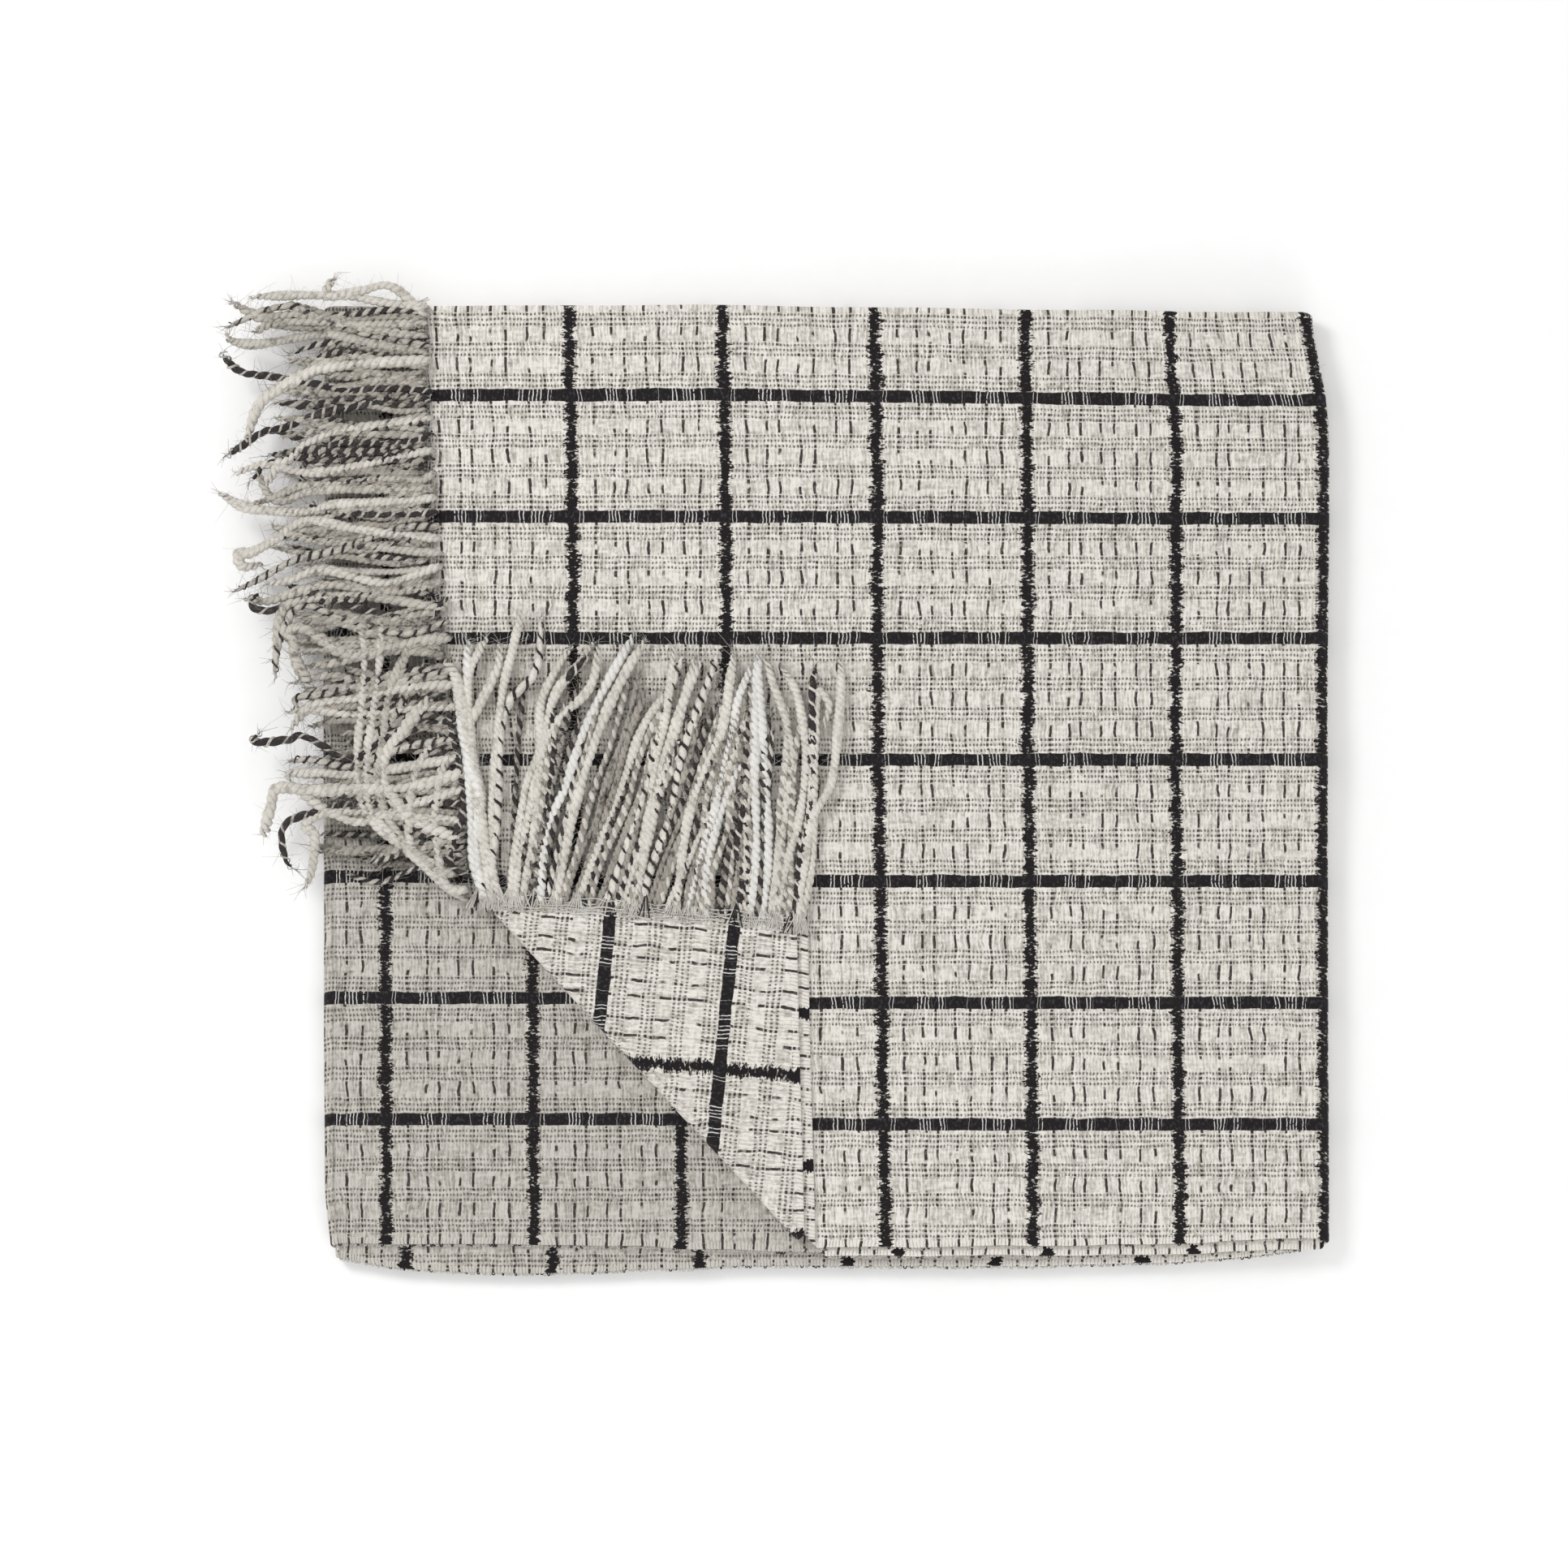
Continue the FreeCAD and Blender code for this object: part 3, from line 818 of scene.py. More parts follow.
top_cloth = cloth_object("top_cloth", [
    *doubled("top"),
    cross_turn(*right_inner, RIGHT, INNER_RADIUS, UPPER_QUARTER, "top_upper", "abcd"),
    turn_patch(*inner_line, CORNER_OUT, INNER_RADIUS, LOWER_QUARTER, "top_upper", rims="abcd"),
], weave)
corner_cloth = cloth_object("corner_cloth", [
    *[flap_patch(leaf, points) for leaf, points in flap.items()],
    turn_patch(*inner_line, CORNER_OUT, INNER_RADIUS, UPPER_QUARTER, "corner_upper", rims="abcd"),
], weave)

left_fold_turn = cloth_object("left_fold_turn", [
    cross_turn(*matched(leaves["bottom_lower"][:, 0], leaves["middle_upper"][:, 0]), LEFT, OUTER_RADIUS,
               HALF_TURN, "middle_upper", "abcd", ROUND_END),
], painted_shade_weave)
right_fold_turn = cloth_object("right_fold_turn", [
    cross_turn(*matched(leaves["middle_lower"][:, -1], leaves["top_upper"][:, -1]), RIGHT, OUTER_RADIUS,
               HALF_TURN, "top_upper", "abcd", ROUND_END),
], weave)
corner_fold_turn = cloth_object("corner_fold_turn", [
    turn_patch(*outer_line, CORNER_OUT, OUTER_RADIUS, HALF_TURN, "corner_upper", rims="abcd"),
], weave)

# ---- strands of yarn


YARN_AROUND = 1.9 * MM    # metres of the yarn's pattern for each radian round it


def run_along(path):
    """The distance along a path at each of its points."""
    return np.concatenate([[0], np.cumsum(np.linalg.norm(np.diff(path, axis=0), axis=1))])


class Strands:
    """Tubes of yarn gathered into one mesh, each with its material's number."""

    def __init__(self):
        self.verts, self.faces, self.uvs, self.kinds, self.count = [], [], [], [], 0

    def tube(self, points, radius, kind, sides=6):
        """A tube along points. radius is one number or one for each point."""
        points = np.asarray(points, float)
        n = len(points)
        way = np.gradient(points, axis=0)
        way /= np.maximum(np.linalg.norm(way, axis=1, keepdims=True), 1e-9)
        side = np.cross(way, (0.0, 0.0, 1.0))
        flat = np.linalg.norm(side, axis=1, keepdims=True)
        side = np.where(flat > 0.05, side / np.maximum(flat, 1e-9), (1.0, 0.0, 0.0))
        up = np.cross(side, way)
        angle = np.linspace(0, 2 * math.pi, sides, endpoint=False)
        radius = np.broadcast_to(radius, n)[:, None, None]
        ring = side[:, None] * np.cos(angle)[None, :, None] + up[:, None] * np.sin(angle)[None, :, None]
        self.verts.append((points[:, None] + ring * radius).reshape(-1, 3))
        run = run_along(points)
        around = (angle * YARN_AROUND)[None, :]
        self.uvs.append(np.stack(np.broadcast_arrays(run[:, None], around), -1).reshape(-1, 2))
        index = np.arange(n * sides).reshape(n, sides) + self.count
        after = np.roll(index, -1, axis=1)
        quads = np.stack([index[:-1], after[:-1], after[1:], index[1:]], -1).reshape(-1, 4)
        self.faces += quads.tolist() + [index[0, ::-1].tolist(), index[-1].tolist()]
        self.kinds += [kind] * (len(quads) + 2)
        self.count += n * sides

    def object(self, name, materials):
        verts, uvs = np.concatenate(self.verts), np.concatenate(self.uvs)
        mesh = bpy.data.meshes.new(name)
        mesh.from_pydata(verts.tolist(), [], self.faces)
        put_uv(mesh, "cloth", uvs)
        mesh.polygons.foreach_set("use_smooth", np.ones(len(mesh.polygons), bool))
        for material in materials:
            mesh.materials.append(material)
        mesh.polygons.foreach_set("material_index", np.asarray(self.kinds, np.int32))
        mesh.update()
        return in_scene(name, mesh)


chance = np.random.default_rng(20)


def rounded_path(points, step):
    """Even steps along a smooth curve through a few points (Catmull-Rom)."""
    points = np.asarray(points, float)
    ends = np.concatenate([[2 * points[0] - points[1]], points, [2 * points[-1] - points[-2]]])
    t = np.linspace(0, 1, 24, endpoint=False)[:, None]
    runs = []
    for a, b, c, d in zip(ends[:-3], ends[1:-2], ends[2:-1], ends[3:]):
        bend, twist = 2 * a - 5 * b + 4 * c - d, 3 * b - a - 3 * c + d
        runs.append(0.5 * (2 * b + (c - a) * t + bend * t**2 + twist * t**3))
    dense = np.concatenate([*runs, points[-1:]])
    run = run_along(dense)
    at = np.linspace(0, run[-1], max(4, int(run[-1] / step)))
    return np.stack([np.interp(at, run, dense[:, k]) for k in range(dense.shape[1])], -1), at


# The heap is a map of heights, in square cells, that the strands are laid on one after another.
CELL = 1.5 * MM
MAP_LOW = np.array([-0.40, -0.35])
MAP_SHAPE = (340, 480)


def on_map(i, j):
    return np.clip(i, 0, MAP_SHAPE[0] - 1), np.clip(j, 0, MAP_SHAPE[1] - 1)


def map_index(x, y):
    return on_map(((x - MAP_LOW[0]) / CELL).astype(int), ((y - MAP_LOW[1]) / CELL).astype(int))


def surface_map():
    """The height of what the strands lie on: the floor, the middle panel and the top panel."""
    x = MAP_LOW[0] + CELL * (np.arange(MAP_SHAPE[0]) + 0.5)[:, None] + np.zeros(MAP_SHAPE)
    y = MAP_LOW[1] + CELL * (np.arange(MAP_SHAPE[1]) + 0.5)[None, :] + np.zeros(MAP_SHAPE)
    height = np.zeros(MAP_SHAPE)
    over_turn = np.sqrt(np.maximum((OUTER_RADIUS + LEAF / 2) ** 2 - np.minimum(x - LEFT_TURN_X, 0) ** 2, 0))
    on_middle = (x > LEFT_TURN_X - OUTER_RADIUS - LEAF / 2) & (y < BACK_TURN_Y + INNER_RADIUS) & (y > -0.312)
    height = np.where(on_middle, LEFT_AXIS_Z + over_turn, height)
    edge = np.where(y >= KINK_Y, fringe_edge_x(np.maximum(y, KINK_Y)), turn_line_x(y) - OUTER_RADIUS)
    on_top = (x > edge) & (y < BACK_TURN_Y) & (y > -0.31)
    height = np.where(on_top, LEVEL["top_upper"] + LEAF / 2, height)
    spots = np.stack([x, y, height], -1)
    return settle(spots)[..., 2]


heap = surface_map()
REACH = 3
DISK = [(i, j) for i in range(-REACH, REACH + 1) for j in range(-REACH, REACH + 1) if i * i + j * j <= 5]
# shares of a strand's radius: how high it lies on others, and how high others lie on it
SUNK, PACKED = 0.88, 0.55


STEEPEST = 0.55    # a strand's slope where it comes down off another


def laid(path, radius, start_z):
    """The height of a strand that lies along path on whatever is already there, and adds it to the heap."""
    i, j = map_index(path[:, 0], path[:, 1])
    under = np.zeros(len(path))
    for di, dj in DISK:
        under = np.maximum(under, heap[on_map(i + di, j + dj)])
    z = under + radius * SUNK
    run = run_along(path)
    z = np.max(z[None, :] - STEEPEST * np.abs(run[:, None] - run[None, :]), axis=1)
    z = np.maximum(z, start_z - STEEPEST * run)
    z += (start_z - z) * np.exp(-run / (9 * MM))
    width = max(1, int(4 * MM / max(run[1], 1e-6)))
    kernel = np.hanning(2 * width + 1)
    kernel /= kernel.sum()
    z = np.convolve(np.pad(z, width, mode="edge"), kernel, mode="valid")
    for di, dj in DISK:
        np.maximum.at(heap, on_map(i + di, j + dj), z + radius * PACKED)
    return z


TWIST = 9.6 * MM
MAX_RISE = 28 * MM
# a ply's own radius and its distance from the strand's middle, as shares of the strand's radius
BALANCED, THIN_PLY, CORE_PLY = (0.68, 0.37), (0.31, 0.70), (0.82, 0.13)


def twisted(group, path, kinds, radius, step, sides=6, phase=0.0, thin=None):
    """
    Two plies wound round a path, thick and thin along it, coming apart at the tip. thin is the ply that is
    only a fine thread, sinking into the other here and there.
    """
    run = run_along(path)
    way = np.gradient(path, axis=0)
    way /= np.linalg.norm(way, axis=1, keepdims=True)
    side = np.cross(way, (0, 0, 1.0))
    side /= np.maximum(np.linalg.norm(side, axis=1, keepdims=True), 1e-6)
    up = np.cross(side, way)
    left = run[-1] - run
    pitch = TWIST * (0.80 + 0.35 * math.sin(3 * phase) ** 2)
    thick = 1 + 0.12 * np.sin(run / (13 * MM) + phase) + 0.08 * np.sin(run / (5.1 * MM) + 2 * phase)
    slim = 0.45 + 0.55 * np.minimum(1, run / (13 * MM))
    for ply, kind in enumerate(kinds):
        bulk, reach = BALANCED if thin is None else THIN_PLY if ply == thin else CORE_PLY
        turn = 2 * math.pi * run / pitch + phase + ply * math.pi + 0.7 * np.sin(run / (19 * MM) + 3 * phase)
        spread = radius * reach * thick * slim * (1 + 0.5 * np.exp(-left / (7 * MM)))
        if ply == thin:
            sinking = 0.20 * np.sin(run / (4.7 * MM) + 5 * phase)
            spread = spread * (0.90 + sinking + 0.12 * np.sin(run / (11 * MM)))
        line = path + (side * np.cos(turn)[:, None] + up * np.sin(turn)[:, None]) * spread[:, None]
        size = radius * bulk * thick * slim * (0.30 + 0.70 * np.minimum(1, left / (17 * MM)))
        end = len(line) - (ply * int(4 * MM / step))
        group.tube(line[:end], size[:end], kind, sides)


def fuzz(group, path, kinds, radius, each, tip=8):
    """Loose fibres along a strand, each of them per point, and a brush of them at its tip."""
    count = int(len(path) * each)
    for number in range(count + tip):
        at_tip = number >= count
        start = path[-1 - chance.integers(0, 6)] if at_tip else path[chance.integers(2, len(path) - 2)]
        heading = path[-1] - path[-5] if at_tip else chance.normal(0, 1, 3)
        heading = heading / np.linalg.norm(heading) + chance.normal(0, 0.35 if at_tip else 0.25, 3)
        heading[2] = heading[2] * 0.3 if at_tip else abs(heading[2]) * 0.5
        length = chance.uniform(2.5, 6.5) * MM if at_tip else radius + chance.uniform(0.5, 3.5) * MM
        bend = chance.normal(0, 0.9, 3) * (1, 1, 0.3)
        t = np.linspace(0, 1, 5)[:, None]
        line = start + heading * length * t + bend * length * t**2
        line[:, 1] = np.minimum(line[:, 1], BACK_TURN_Y + 25 * MM)
        line[:, 2] = np.clip(line[:, 2], 0.4 * MM, MAX_RISE + 7 * MM)
        thickness = (0.26, 0.10) if at_tip else (0.15, 0.07)
        group.tube(line, np.linspace(*thickness, 5) * MM, kinds[chance.integers(len(kinds))], 3)

# ---- fringes
# Each strand is listed in millimetres, as seen from above, from the cloth's edge to its tip.
# "e" is an ecru strand and "t" a two-tone one; a number after it scales its thickness.

TOP_STRANDS = [
    ("e", 1.0, [(-238, 319), (-261, 339), (-282, 336), (-304, 332), (-304, 338), (-300, 345)]),
    ("e", 1.0, [(-237, 314), (-277, 312), (-309, 315), (-340, 314), (-354, 306)]),
    ("e", 0.9, [(-237, 325), (-262, 327), (-290, 331), (-327, 333), (-356, 332)]),
    ("e", 1.0, [(-237, 305), (-275, 309), (-321, 320), (-348, 318), (-370, 328)]),
    ("t", 1.0, [(-236, 299), (-280, 306), (-323, 324), (-330, 326), (-348, 322), (-362, 315), (-373, 310)]),
    ("e", 1.0, [(-236, 293), (-277, 301), (-304, 306), (-330, 302), (-353, 299), (-369, 302), (-371, 307)]),
    ("e", 1.3, [(-235, 289), (-277, 286), (-309, 283), (-319, 279), (-338, 269), (-351, 257), (-358, 233)]),
    ("t", 1.0, [
        (-234, 268), (-267, 270), (-288, 268), (-304, 270), (-341, 277), (-362, 281), (-373, 291),
        (-373, 295)
    ]),
    ("t", 1.0, [
        (-234, 262), (-256, 264), (-277, 258), (-298, 255), (-319, 249), (-335, 243), (-348, 240),
        (-362, 230), (-373, 223)
    ]),
    ("e", 1.0, [(-233, 250), (-277, 243), (-298, 240), (-319, 232), (-330, 222), (-338, 218), (-345, 203)]),
    ("t", 0.9, [(-233, 239), (-251, 233), (-288, 233), (-304, 229), (-319, 219), (-323, 203)]),
    ("e", 1.0, [(-232, 228), (-277, 219), (-298, 214), (-320, 212), (-345, 218), (-366, 213)]),
    ("t", 0.8, [(-232, 222), (-275, 226), (-310, 224), (-345, 218), (-351, 211), (-357, 206)]),
    ("e", 0.9, [(-231, 213), (-243, 207), (-267, 208), (-300, 205), (-322, 204), (-340, 196), (-357, 190)]),
    ("e", 1.0, [
        (-230, 202), (-277, 201), (-298, 201), (-319, 199), (-332, 194), (-340, 195), (-346, 202),
        (-351, 214)
    ]),
    ("e", 1.1, [(-230, 196), (-270, 192), (-300, 190), (-319, 186), (-351, 188), (-366, 192), (-377, 199)]),
    ("t", 1.0, [(-229, 186), (-246, 184), (-267, 184), (-283, 185), (-298, 185), (-309, 188), (-319, 192)]),
    ("t", 1.0, [
        (-228, 176), (-256, 175), (-277, 168), (-293, 161), (-309, 157), (-325, 153), (-338, 147),
        (-351, 140), (-367, 133)
    ]),
    ("e", 1.1, [
        (-228, 168), (-255, 170), (-290, 176), (-319, 180), (-340, 166), (-356, 158), (-364, 158),
        (-362, 149), (-348, 149)
    ]),
    ("e", 0.9, [(-226, 158), (-250, 160), (-280, 163), (-310, 166), (-330, 172), (-342, 178)]),
    ("e", 1.1, [(-226, 150), (-250, 141), (-267, 138), (-288, 143), (-309, 147), (-330, 139), (-346, 136)]),
    ("e", 1.0, [(-225, 140), (-245, 134), (-275, 132), (-300, 136), (-325, 132), (-345, 126), (-360, 128)]),
    ("t", 0.8, [
        (-223, 128), (-237, 112), (-256, 115), (-288, 123), (-298, 128), (-309, 127), (-326, 125),
        (-340, 119), (-353, 120), (-355, 127), (-347, 131)
    ]),
    ("e", 1.0, [(-223, 120), (-250, 124), (-290, 130), (-326, 125), (-335, 118), (-338, 99), (-338, 86)]),
    ("t", 0.9, [(-222, 112), (-250, 104), (-290, 112), (-320, 122), (-333, 108), (-339, 90), (-340, 73)]),
    ("e", 1.3, [
        (-221, 101), (-252, 96), (-288, 90), (-319, 106), (-330, 104), (-327, 99), (-324, 83),
        (-315, 67)
    ]),
    ("t", 0.9, [(-218, 80), (-250, 72), (-287, 67), (-308, 63), (-326, 60), (-323, 49)]),
    ("e", 1.0, [(-217, 69), (-255, 66), (-287, 60), (-315, 54), (-328, 39)]),
    ("e", 1.0, [(-215, 54), (-250, 52), (-285, 49), (-310, 52), (-332, 50)]),
    ("t", 0.9, [
        (-214, 45), (-255, 38), (-288, 19), (-308, 28), (-322, 34), (-331, 31), (-354, 30), (-349, 37)
    ]),
    ("t", 1.0, [(-213, 33), (-255, 26), (-287, 13), (-315, 18), (-330, 17)]),
    ("e", 1.0, [(-212, 21), (-255, 12), (-287, 8), (-310, 10), (-333, 9)]),
    ("e", 1.4, [(-211, 10), (-250, -1), (-287, -2), (-315, -2), (-338, -1), (-342, -14), (-347, -33)]),
    ("e", 1.0, [(-210, 0), (-245, -12), (-279, -24), (-298, -19), (-317, -7), (-330, 4)]),
    ("t", 0.9, [
        (-209, -12), (-250, -10), (-290, -12), (-312, -18), (-330, -24), (-335, -34), (-332, -51),
        (-326, -57)
    ]),
    ("e", 1.0, [(-207, -24), (-250, -20), (-295, -17), (-318, -25), (-312, -34), (-315, -58), (-320, -68)]),
    # over the turned corner, from its fold up along the edge
    ("e", 1.0, [
        (-208, -79), (-229, -63), (-248, -46), (-268, -30), (-279, -15), (-283, 1), (-283, 33),
        (-280, 73), (-279, 93), (-282, 110)
    ]),
    ("e", 1.0, [
        (-220, -68), (-246, -47), (-260, -34), (-275, -14), (-277, 6), (-276, 33), (-270, 73),
        (-267, 100), (-268, 114)
    ]),
    ("e", 1.1, [(-216, -60), (-238, -51), (-268, -7), (-263, 60), (-255, 79), (-246, 100)]),
    ("t", 0.9, [(-212, -48), (-250, -20), (-275, 8), (-275, 28), (-259, 47), (-248, 66), (-238, 83)]),
    ("e", 1.4, [
        (-214, -36), (-240, -26), (-255, -13), (-265, 3), (-264, 22), (-252, 39), (-242, 53), (-232, 63)
    ]),
    ("e", 1.0, [(-226, -55), (-246, -41), (-249, -21), (-246, 6), (-238, 22), (-228, 35)]),
    ("e", 1.0, [(-208, -70), (-223, -67), (-230, -41), (-232, -21), (-228, 6), (-221, 19)]),
    ("t", 0.9, [(-206, -62), (-221, -53), (-217, -34), (-211, -14), (-215, 13), (-221, 39), (-223, 60)]),
    ("e", 1.4, [(-203, -55), (-202, -25), (-201, -1), (-211, 43), (-217, 73), (-224, 86)]),
]
FLAP_STRANDS = [
    ("e", 1.1, [(-199, -78), (-203, -40), (-201, -7), (-210, 20), (-216, 60)]),
    ("e", 1.0, [(-196, -78), (-205, -50), (-208, -10), (-209, 52), (-210, 98)]),
    ("e", 1.0, [(-193, -79), (-199, -40), (-205, 0), (-207, 30), (-209, 72), (-196, 101)]),
    ("e", 1.1, [(-187, -79), (-196, -40), (-204, 5), (-210, 38), (-202, 52), (-189, 80), (-188, 96)]),
    ("t", 1.0, [(-202, -79), (-192, -44), (-189, -7), (-183, 52), (-164, 78), (-159, 115)]),
    ("e", 1.0, [(-194, -79), (-192, -20), (-190, 30), (-186, 63), (-179, 89), (-172, 119)]),
    ("e", 1.0, [(-181, -80), (-174, -29), (-170, 1), (-160, 26), (-158, 60), (-140, 96)]),
    ("e", 1.0, [(-178, -80), (-172, -40), (-162, 10), (-150, 60), (-132, 85), (-125, 98)]),
    ("e", 1.0, [(-172, -80), (-165, -30), (-154, 35), (-127, 67), (-120, 94)]),
    ("t", 0.9, [(-164, -81), (-158, -30), (-152, 20), (-151, 58), (-142, 72), (-126, 91)]),
    ("e", 1.0, [(-160, -81), (-155, -29), (-143, 1), (-130, 37), (-112, 76), (-97, 102)]),
    ("e", 1.1, [(-150, -81), (-142, -40), (-130, 10), (-118, 45), (-100, 80), (-88, 100)]),
    ("e", 1.0, [(-136, -81), (-117, -33), (-106, -4), (-92, 37), (-71, 67)]),
    ("t", 1.0, [(-115, -82), (-106, -54), (-96, -24), (-90, -4), (-79, 37), (-66, 82), (-62, 88)]),
    ("e", 1.0, [(-104, -83), (-94, -50), (-87, -36), (-79, 8), (-65, 52), (-55, 89)]),
    ("e", 1.0, [(-98, -83), (-92, -60), (-84, 0), (-76, 45), (-69, 95)]),
    ("e", 1.0, [(-93, -84), (-88, -29), (-75, 15), (-63, 55), (-50, 88)]),
    ("t", 1.0, [(-88, -84), (-88, -66), (-78, -36), (-69, -7), (-65, 15), (-53, 55), (-44, 78), (-40, 89)]),
    ("e", 1.1, [(-69, -86), (-62, -36), (-53, 1), (-38, 37), (-32, 64), (-28, 91)]),
    ("e", 1.0, [(-60, -86), (-50, -40), (-42, -15), (-30, 35), (-26, 60), (-17, 82)]),
    ("e", 1.0, [(-49, -88), (-45, -43), (-31, 1), (-19, 20)]),
    ("t", 1.0, [(-28, -90), (-23, -66), (-26, -43), (-23, -21), (-19, 1)]),
    ("e", 1.1, [(-18, -91), (-14, -40), (-14, 10), (-15, 60), (-12, 89)]),
    ("e", 1.0, [(-9, -91), (-6, -43), (-6, -7), (-9, 30), (-12, 64), (-12, 89)]),
    ("e", 0.9, [(-1, -92), (0, -60), (6, -15), (12, 15), (6, 45), (-3, 70), (-7, 87)]),
    ("e", 1.0, [(0, -92), (8, -50), (15, -21), (20, 23), (15, 60), (3, 82)]),
    ("t", 1.0, [(10, -94), (14, -70), (16, -58), (22, -21), (25, 23), (25, 67), (25, 82)]),
    ("e", 1.0, [(14, -95), (20, -50), (24, -21), (36, 1), (42, 37), (44, 67), (43, 86)]),
    ("e", 0.8, [(17, -95), (24, -50), (26, 0), (27, 30), (28, 64), (36, 55), (31, 39)]),
]
STRAND_RADIUS, STRAND_STEP = 3.15 * MM, 0.9 * MM
UNDER_RADIUS, UNDER_STEP = 2.7 * MM, 1.8 * MM
TOP_UNDER_PITCH, FLAP_UNDER_PITCH = 3.6 * MM, 4.2 * MM


def plies(kind):
    """Material numbers of a strand's two plies."""
    if kind == "t":
        return [LIGHT, DARK]
    if kind == "g":
        # painted shade: grey plies on the strands under the others
        return [(LIGHT, SHADOW_GREY, SHADOW_GREY)[chance.integers(3)], (LIGHT, SHADOW_GREY, SHADOW_GREY, DARK)[chance.integers(4)]]
    return [WHITE if chance.random() < 0.4 else LIGHT] * 2


def lay_strand(group, kind, places, radius, start_z, fibres, step=STRAND_STEP, sides=6):
    """One strand through places, lying on what is there."""
    flat, run = rounded_path(places, step)
    sway = np.sin(run / (17 * MM) + chance.uniform(0, 6)) * 0.6 * MM * np.minimum(1, run / (20 * MM))
    flat = flat + np.gradient(flat, axis=0)[:, ::-1] * (1, -1) / step * sway[:, None]
    path = np.column_stack([flat, np.minimum(laid(flat, radius, start_z), MAX_RISE)])
    colours = plies(kind)
    thin = (0, 0, 0, 1)[chance.integers(4)] if kind == "t" else None
    twisted(group, path, colours, radius, step, sides, chance.uniform(0, 6), thin)
    fuzz(group, path, colours + ([LIGHT] if kind == "g" else [WHITE]), radius, fibres)


strands = {
    (panel, kind): Strands() for panel in ("top", "corner", "bottom") for kind in ("ecru", "two_tone")
}

# The lower leaf's strands lie under the others, shorter, with grey plies as painted shade between the
# strands.
for y in np.arange(-0.058, 0.322, TOP_UNDER_PITCH):
    x = float(fringe_edge_x(y)) + 0.002
    steps = np.cumsum(chance.normal(0, 4.0, 4)) * MM
    reach = chance.uniform(17, 28) * MM
    places = [(x, y)] + [(x - reach * (k + 1), y + steps[k]) for k in range(4)]
    lay_strand(strands["top", "ecru"], "g", places, UNDER_RADIUS * chance.uniform(0.8, 1.15),
               LEVEL["top_lower"] - 0.5 * MM, 0.9, UNDER_STEP, 5)
for x in np.arange(-0.186, 0.016, FLAP_UNDER_PITCH):
    lean = float(curve_through(x, [-0.19, -0.15, -0.08, -0.02, 0.02], [0.06, 0.30, 0.33, 0.03, 0.12]))
    steps = np.cumsum(chance.normal(0, 2.5, 4)) * MM
    reach = chance.uniform(31, 43) * MM
    start = float(flap_edge_y(x)) - 0.002
    places = [(x, start)] + [
        (x + reach * (k + 1) * math.sin(lean) + steps[k], start + reach * (k + 1) * math.cos(lean))
        for k in range(4)
    ]
    lay_strand(strands["corner", "ecru"], "g", places, UNDER_RADIUS * chance.uniform(0.8, 1.1),
               LEVEL["corner_lower"], 1.2, UNDER_STEP, 5)

for panel, listed, start_z in (
    ("top", TOP_STRANDS, LEVEL["top_upper"]),
    ("corner", FLAP_STRANDS, LEVEL["corner_upper"]),
):
    for kind, thickness, places in listed:
        radius = STRAND_RADIUS * thickness * chance.uniform(0.94, 1.06)
        group = strands[panel, "two_tone" if kind == "t" else "ecru"]
        lay_strand(group, kind, np.array(places) * MM, radius, start_z - 1.0 * MM, 0.7)

# The bottom panel's fringe is out of sight, so it is plainer: 58 straight strands in rows.
BOTTOM_FIRST_Y, BOTTOM_PITCH = -0.3067, 0.01035
for number in range(58):
    kind = "two_tone" if number % 8 in (2, 3) else "ecru"
    group = strands["bottom", kind]
    y = BOTTOM_FIRST_Y + BOTTOM_PITCH * number
    bends = chance.normal(0, 1.2, 3) * MM
    places = [(BOTTOM_END_X - 0.001, y), (0.255, y + bends[0]), (0.305, y + bends[1]), (0.358, y + bends[2])]
    flat, _ = rounded_path(places, 1.6 * MM)
    path = np.column_stack([flat, np.full(len(flat), 3.15 * MM)])
    colours = plies("t" if kind == "two_tone" else "e")
    twisted(group, path, colours, 2.8 * MM, 1.6 * MM, sides=5, phase=chance.uniform(0, 6))
    fuzz(group, path, colours, 2.2 * MM, 0.03, tip=6)

# ---- the cloth's edges
# Along the fringe, yarns gather from the edge into each strand; along the selvedge, weft loops show.


def gather(group, foot, way_out, half_width, z_high, kinds):
    """Thin yarns from along the cloth's edge, drawn together into the start of a strand."""
    way_out = np.array(way_out)
    along = np.array([-way_out[1], way_out[0]])
    for k in np.linspace(-1, 1, 9):
        spread = half_width * k + chance.normal(0, 0.4) * MM
        inside = foot + along * spread - way_out * chance.uniform(3.0, 6.0) * MM
        middle = foot + along * spread * 0.55 + way_out * 2.5 * MM
        outside = foot + along * spread * 0.10 + way_out * chance.uniform(9, 13) * MM
        z = z_high + (0.9 + 1.5 * chance.random()) * MM
        path, _ = rounded_path([(*inside, z), (*middle, z + 0.5 * MM), (*outside, z)], 1.5 * MM)
        group.tube(path, 0.50 * MM, kinds[chance.integers(len(kinds))], 5)


